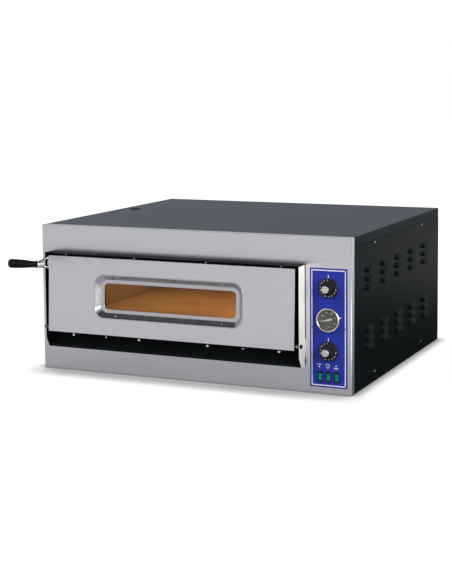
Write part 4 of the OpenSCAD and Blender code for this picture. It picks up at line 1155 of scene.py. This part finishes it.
def makeDialMarks():
    bm = bmesh.new()
    z = (gauge["dialZ"] + 0.05) * mm
    for i in range(2 * len(gauge["labels"]) - 1):
        angle = radians(gauge["firstLabel"] - i * gauge["labelStep"] / 2)
        long, width = gauge["ticks"][i % 2]
        verts = addBlock(bm, (-width * mm / 2, (gauge["tickR"] - long) * mm, -0.04 * mm),
                         (width * mm / 2, gauge["tickR"] * mm, 0.04 * mm))
        place = Matrix.Translation((0, 0, z)) @ Matrix.Rotation(angle - pi / 2, 4, "Z")
        bmesh.ops.transform(bm, matrix=place, verts=verts)
    size, r = gauge["labelSize"] * mm, gauge["labelR"] * mm
    for i, label in enumerate(gauge["labels"]):
        angle = radians(gauge["firstLabel"] - i * gauge["labelStep"])
        addText(bm, label, size, Matrix.Translation((r * cos(angle), r * sin(angle), z)))
    x, y = gauge["unitAt"]
    addText(bm, "°C", size, Matrix.Translation((x * mm, y * mm, z)))
    newPiece("gauge_dial_marks", bm, "root", "needle_white", whitePrint, place=gaugeFacing)


def makeDialArc():
    # a thin coloured arc just outside the ticks
    bm = bmesh.new()
    start = radians(gauge["firstLabel"])
    sweep = radians(-gauge["labelStep"] * (len(gauge["labels"]) - 1))
    z = (gauge["dialZ"] + 0.06) * mm
    ends = [bm.verts.new((r * mm * cos(start), r * mm * sin(start), z)) for r in gauge["arcR"]]
    line = bm.edges.new(ends)
    bmesh.ops.spin(bm, geom=ends + [line], cent=(0, 0, 0), axis=(0, 0, 1), angle=sweep, steps=60)
    thicken(bm, 0.05)
    turnOutwards(bm)
    newPiece("gauge_dial_arc", bm, "root", "rivet_brass", goldPrint, place=gaugeFacing)


def makeGaugeGlass():
    r = gauge["r"] - gauge["ring"] - 0.05
    profile = [(0, 4.3), (r, 4.2), (r, 4.9), (r * 0.8, 5.15), (r * 0.5, 5.35), (0, 5.45)]
    turnedPiece("gauge_glass_lens", profile, "root", "clear_glass", steps=72, sharp=40,
                place=gaugeFacing, replaced="gauge_glass")


def makeNeedle():
    bm = bmesh.new()
    z = gauge["dialZ"] + 0.3
    tail, tip = gauge["needleTail"], gauge["needleL"]
    half = [(-tail, 1.0), (-1.0, 1.5), (2.5, 1.7), (tip * 0.75, 0.8), (tip, 0.15)]
    outline = half + [(x, -y) for x, y in reversed(half)]
    face = bm.faces.new([bm.verts.new((x * mm, y * mm, z * mm)) for x, y in outline])
    raised(bm, [face], (0, 0, 0.4 * mm))
    hub, counter = bmesh.new(), bmesh.new()
    spun(hub, [(0, 1.2), (1.0, 1.2), (1.0, z), (2.6, z), (2.6, z + 0.6), (1.8, z + 0.9), (0, z + 0.95)],
         steps=32)
    spun(counter, [(0, z), (2.4, z), (2.4, z + 0.5), (0, z + 0.5)], steps=32)
    addShape(bm, hub)
    addShape(bm, counter, Matrix.Translation((-tail * mm, 0, 0)))
    turnOutwards(bm)
    turn = Matrix.Rotation(radians(gauge["needleAngle"]), 4, "Z")
    newPiece("gauge_needle_pressed", bm, "needle", "needle_white", sharp=40,
             place=gaugeFacing @ turn, replaced="gauge_needle")


makeBezel()
makeDial()
makeDialMarks()
makeDialArc()
makeGaugeGlass()
makeNeedle()
print("gauge assembled")

# ---- door handle and seal ----

handle = {
    "neck": 43.0,
    "length": 82.0,
    "ferrule": (19.0, 43.2, 7.6, 11.0),  # from, to, and the two radii
    "endR": 12.0,
    "neckR": 8.5,
    "splay": 26.0,
    "pitch": 7.5,
    "drop": 26.0,
}


def handlePlace():
    low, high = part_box("door_front_panel")
    lean = radians(windowFrame["lean"])
    z = high.z - handle["drop"] * mm
    y = low.y + (z - low.z) * sin(lean) / cos(lean) - 1 * mm
    splay, pitch = radians(handle["splay"]), radians(handle["pitch"])
    direction = Vector((-sin(splay) * cos(pitch), -cos(splay) * cos(pitch), sin(pitch)))
    turn = direction.to_track_quat("Z", "Y").to_matrix().to_4x4()
    return Matrix.Translation((low.x + 1.5 * mm, y, z)) @ turn


def makeGrip():
    n, l, r, neckR = handle["neck"], handle["length"], handle["endR"], handle["neckR"]
    body = [(0, 0), (neckR - 0.6, 0), (neckR, 0.6), (neckR + 0.4, l * 0.12), (neckR + 1.3, l * 0.27),
            (neckR + 2.4, l * 0.42), (r - 0.5, l * 0.58), (r, l * 0.72), (r, l - 6)]
    dome = [(r - 6 + 6 * cos(a), l - 6 + 6 * sin(a)) for a in (radians(15 * i) for i in range(1, 7))]
    profile = [(a, n + z) for a, z in body + dome + [(0, l)]]
    turnedPiece("handle_grip_moulded", profile, "door", "grip_bakelite", steps=56, sharp=50,
                place=handlePlace(), replaced="handle_grip")


def makeFerrule():
    start, end, small, large = handle["ferrule"]
    profile = [(0, start), (small - 0.6, start), (small, start + 0.6), (large - 0.4, end - 3),
               (large, end - 2), (large, end), (0, end)]
    turnedPiece("handle_ferrule", profile, "door", "bracket_steel", steps=48, sharp=50,
                place=handlePlace(), material=finishes["screw_steel"])


doorSeal = {"inset": 3.5, "corner": 9.0, "radius": 3.5}


def makeSeal():
    low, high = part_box("door_seal")
    w = high.x - low.x - 2 * doorSeal["inset"] * mm
    h = high.z - low.z - 2 * doorSeal["inset"] * mm
    flat = bmesh.new()
    face = roundedPlate(flat, w, h, doorSeal["corner"] * mm, 6)
    middle = (low + high) / 2
    points = [middle + Vector((v.co.x, 0, v.co.y)) for v in face.verts]
    flat.free()
    bm = bmesh.new()
    addTube(bm, points, doorSeal["radius"] * mm, cyclic=True, sides=16)
    newPiece("door_seal_braided", bm, "door", "seal_braid", sharp=60, replaced="door_seal")


makeGrip()
makeFerrule()
makeSeal()
print("handle and seal made")

# ---- printing on the control plate ----

plateTree = carrierTree(finished["control_plate"])
printing = {
    "line": 3.9,
    "indexW": 2.0,
    "indexH": 8.5,
    "markW": 3.0,
    "markH": 5.5,
    "iconW": 12.0,
    "iconGap": 3.0,      # from an icon's middle to its bar and its dot
    "bars": (1.6, 2.2),  # heights of the thin and the thick bar
    "dotR": 1.9,
    "ringR": (5.0, 3.6),
    "ringUp": 1.5,
    "thickness": 0.08,
}


def printed(bm, place, width, height):
    # a small printed rectangle standing on the plate at a place
    half = Vector((width * mm / 2, 0, height * mm / 2))
    deep = Vector((0, printing["thickness"] * mm, 0))
    addBlock(bm, Vector(place) - half - deep, Vector(place) + half)


def printedRing(bm, place, outer, inner=0.0):
    ring = bmesh.new()
    t = printing["thickness"]
    profile = [(inner, 0), (outer, 0), (outer, t), (inner, t)] + ([(inner, 0)] if inner else [])
    spun(ring, profile, steps=32)
    addShape(bm, ring, facing(*place))


def makeBorderLine():
    # the line runs round the plate at the corner point's distance from its edges
    low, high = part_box("control_plate")
    corner = placedOn(plateTree, "lineTopLeft")
    inset = corner.x - low.x - printing["line"] * mm / 2
    bm = bmesh.new()
    flatSheet(bm, high.x - low.x - 2 * inset, high.z - low.z - 2 * inset)
    face = facedUp(bm.faces[:][0])
    bmesh.ops.inset_individual(bm, faces=[face], thickness=printing["line"] * mm)
    bmesh.ops.delete(bm, geom=[face], context="FACES_ONLY")
    raised(bm, bm.faces[:], (0, 0, printing["thickness"] * mm))
    turnOutwards(bm)
    middle = (low + high) / 2
    newPiece("control_plate_line", bm, "root", "needle_white", whitePrint,
             place=facing(middle.x, low.y, middle.z))


def makeMarks():
    bm = bmesh.new()
    printed(bm, placedOn(plateTree, "upperIndex"), printing["indexW"], printing["indexH"])
    printed(bm, placedOn(plateTree, "lowerIndex"), printing["indexW"], printing["indexH"])
    printed(bm, placedOn(plateTree, "sideMark"), printing["markW"], printing["markH"])
    left = placedOn(plateTree, "leftIcon")
    right = placedOn(plateTree, "rightIcon")
    middle = (left + right) / 2
    up = Vector((0, 0, mm))
    gap = up * printing["iconGap"]
    thin, thick = printing["bars"]
    printed(bm, left + gap, printing["iconW"], thin)
    printedRing(bm, left - gap, printing["dotR"])
    printedRing(bm, middle + up * printing["ringUp"], *printing["ringR"])
    printedRing(bm, middle - gap * 1.3, printing["dotR"])
    printedRing(bm, right + gap, printing["dotR"])
    printed(bm, right - gap, printing["iconW"], thick)
    newPiece("control_plate_marks", bm, "root", "needle_white", whitePrint)


makeBorderLine()
makeMarks()
print("control plate printed")

# ---- studio ----

studio = {
    "floorSize": 30.0,
    "floorColor": (0.10, 0.10, 0.10),
    "ambient": 0.42,
    # each pair of places with the values there: distances from the oven's middle, then places
    # along Y, and last how steeply a mirrored ray looks up
    "floorGlow": (0.9, 2.6, 0.94, 1.0),
    "mirrorFront": (0.5, 1.4, 0.28, 0.46),
    "mirrorSide": (0.6, 2.3, 0.0, 0.50),
    "mirrorBreak": (-0.41, -0.39, 0, 1),
    "shadowReach": (-0.46, -0.36, 0.10, 0.036),
    "overhead": (0.35, 0.8, 0.57, 0.07),
    "lamps": {
        "key": {"at": (-2.4, -3.4, 3.4), "size": 3.2, "power": 150.0, "color": (1.0, 0.99, 0.98)},
        "fill": {"at": (3.4, -1.6, 1.2), "size": 2.2, "power": 108.0, "color": (1.0, 0.99, 0.98),
                 "mirrored": True},
        "rear": {"at": (-2.8, 3.2, 1.9), "size": 2.6, "power": 120.0, "color": (0.98, 0.99, 1.0)},
        "top": {"at": (0.2, 0.6, 3.6), "size": 3.0, "power": 26.0, "color": (0.98, 0.99, 1.0)},
    },
    # kind, place, size and power: a bulb in the corner, and a soft light from the ceiling
    "ovenLamps": (("POINT", (0.235, -0.12, 0.236), 0.03, 2.0),
                  ("AREA", (-0.18, -0.12, 0.284), 0.36, 0.27)),
    "ovenColor": (1.0, 0.84, 0.46),
}


def makeWorld():
    # white behind the oven, and darker overhead for what metal and glass mirror
    world = bpy.data.worlds.new("pale_studio")
    bpy.context.scene.world = world
    world.use_nodes = True
    background = world.node_tree.nodes["Background"]
    background.inputs["Color"].default_value = (1, 1, 1, 1)
    path = addNode(world, "ShaderNodeLightPath")
    sky = addNode(world, "ShaderNodeTexCoord")
    parts = addNode(world, "ShaderNodeSeparateXYZ", Vector=sky.outputs["Generated"])
    overhead = ramp(world, parts.outputs["Z"], *studio["overhead"])
    level = 1.0
    for ray, strength in (("Is Diffuse Ray", studio["ambient"]), ("Is Glossy Ray", overhead),
                          ("Is Camera Ray", 1.0), ("Is Transmission Ray", 1.0)):
        mixed = addNode(world, "ShaderNodeMix", Factor=path.outputs[ray], A=level, B=strength)
        level = mixed.outputs["Result"]
    join(world, level, background.inputs["Strength"])


def makeFloor():
    bm = bmesh.new()
    flatSheet(bm, studio["floorSize"], studio["floorSize"])
    mesh = asMesh(bm, "floor")
    floor = bpy.data.objects.new("floor", mesh)
    bpy.context.scene.collection.objects.link(floor)
    pale = bpy.data.materials.new("pale_floor")
    pale.use_nodes = True
    pale.node_tree.nodes.clear()
    spot = addNode(pale, "ShaderNodeTexCoord").outputs["Object"]
    away = addNode(pale, "ShaderNodeVectorMath", {"operation": "LENGTH"}, Vector=spot).outputs["Value"]
    along = addNode(pale, "ShaderNodeSeparateXYZ", Vector=spot).outputs["Y"]
    # a contact shadow that reaches farther before the oven than beside it
    close = addNode(pale, "ShaderNodeAmbientOcclusion", {"samples": 12},
                    Distance=ramp(pale, along, *studio["shadowReach"])).outputs["AO"]
    shade = combined(pale, "MULTIPLY", close, close)
    path = addNode(pale, "ShaderNodeLightPath")
    seen = combined(pale, "MAXIMUM", path.outputs["Is Camera Ray"], path.outputs["Is Transmission Ray"])
    glow = combined(pale, "MULTIPLY", ramp(pale, away, *studio["floorGlow"]), shade)
    glow = combined(pale, "MULTIPLY", glow, seen)
    # metal and paint mirror a floor that darkens near the oven, most of all beside it
    either = addNode(pale, "ShaderNodeMix", Factor=ramp(pale, along, *studio["mirrorBreak"]),
                     A=ramp(pale, away, *studio["mirrorFront"]),
                     B=ramp(pale, away, *studio["mirrorSide"]))
    mirrored = combined(pale, "MULTIPLY", either.outputs["Result"], path.outputs["Is Glossy Ray"])
    emission = addNode(pale, "ShaderNodeEmission", Strength=combined(pale, "ADD", glow, mirrored))
    diffuse = addNode(pale, "ShaderNodeBsdfDiffuse", Color=(*studio["floorColor"], 1))
    both = addNode(pale, "ShaderNodeAddShader")
    join(pale, diffuse.outputs[0], both.inputs[0])
    join(pale, emission.outputs[0], both.inputs[1])
    addNode(pale, "ShaderNodeOutputMaterial", Surface=both.outputs[0])
    mesh.materials.append(pale)
    floor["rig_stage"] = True


def addLamp(name, at, size, power, color, target=(0, 0, 0.2), mirrored=False):
    data = bpy.data.lights.new(name, "AREA")
    data.shape = "SQUARE"
    data.size = size
    data.energy = power
    data.color = color
    lamp = bpy.data.objects.new(name, data)
    lamp.visible_glossy = mirrored
    lamp.visible_camera = False
    turn = (Vector(target) - Vector(at)).to_track_quat("-Z", "Y").to_matrix().to_4x4()
    lamp.matrix_world = Matrix.Translation(at) @ turn
    bpy.context.scene.collection.objects.link(lamp)


makeWorld()
makeFloor()
for name, settings in studio["lamps"].items():
    addLamp(name, **settings)
for kind, place, size, power in studio["ovenLamps"]:
    glow = bpy.data.lights.new("oven_lamp", kind)
    glow.energy = power
    glow.color = studio["ovenColor"]
    if kind == "AREA":
        glow.size = size     # shines straight down
    else:
        glow.shadow_soft_size = size
    ovenLamp = bpy.data.objects.new("oven_lamp", glow)
    ovenLamp.location = place
    ovenLamp.visible_camera = ovenLamp.visible_glossy = ovenLamp.visible_transmission = False
    bpy.context.scene.collection.objects.link(ovenLamp)
bpy.context.scene.view_settings.view_transform = "Standard"
print("studio lit")

# ---- where each thing shows in the image ----


def cornerOf(piece, *faces):
    # the finished vertex farthest towards some sides, such as "x-", "z+"
    best = max(piece.data.vertices, key=lambda v: sum(
        v.co["xyz".index(face[0])] * (1 if face[1] == "+" else -1) for face in faces))
    return best.co


def middleOf(piece):
    spots = [v.co for v in piece.data.vertices]
    low = Vector([min(spot[i] for spot in spots) for i in range(3)])
    high = Vector([max(spot[i] for spot in spots) for i in range(3)])
    return (low + high) / 2


def writePoints():
    pieces = [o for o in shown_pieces() if o.type == "MESH"]
    shown = [shownAt(v.co) for o in pieces for v in o.data.vertices]
    xs = [x for x, y in shown]
    ys = [y for x, y in shown]
    fascia, doorPanel = finished["front_fascia"], finished["door_front_panel"]
    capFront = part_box("upper_knob_cap")[0].y
    upperCap, lowerCap = middleOf(finished["upper_knob_cap"]), middleOf(finished["lower_knob_cap"])
    bezel = middleOf(finished["gauge_bezel"])
    duct = middleOf(finished["vapour_duct"])
    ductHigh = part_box("vapour_duct")[1]
    places = {
        "objectLeft": (min(xs), None),
        "objectRight": (max(xs), None),
        "objectTop": (None, min(ys)),
        "objectBottom": (None, max(ys)),
        "frontTopLeft": shownAt(cornerOf(fascia, "x-", "y-", "z+")),
        "frontTopRight": shownAt(cornerOf(fascia, "x+", "y-", "z+")),
        "frontBottomLeft": shownAt(cornerOf(fascia, "x-", "y-", "z-")),
        "backTopRight": shownAt(cornerOf(finished["top_cover"], "x+", "y+", "z+")),
        "doorTopLeft": shownAt(cornerOf(doorPanel, "x-", "z+")),
        "doorBottomRight": shownAt(cornerOf(doorPanel, "x+", "z-")),
        "upperKnobCap": shownAt((upperCap.x, capFront, upperCap.z)),
        "lowerKnobCap": shownAt((lowerCap.x, capFront, lowerCap.z)),
        "gaugeMiddle": shownAt((bezel.x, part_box("gauge_bezel")[0].y, gaugeMiddle().z)),
        "vapourHole": shownAt((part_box("vapour_duct")[0].x + 19 * mm, duct.y, ductHigh.z)),
        "upperIndex": shownAt(placedOn(plateTree, "upperIndex")),
        "lowerIndex": shownAt(placedOn(plateTree, "lowerIndex")),
        "sideMark": shownAt(placedOn(plateTree, "sideMark")),
        "lineTopLeft": shownAt(placedOn(plateTree, "lineTopLeft")),
        "leftIcon": shownAt(placedOn(plateTree, "leftIcon")),
        "rightIcon": shownAt(placedOn(plateTree, "rightIcon")),
    }


writePoints()
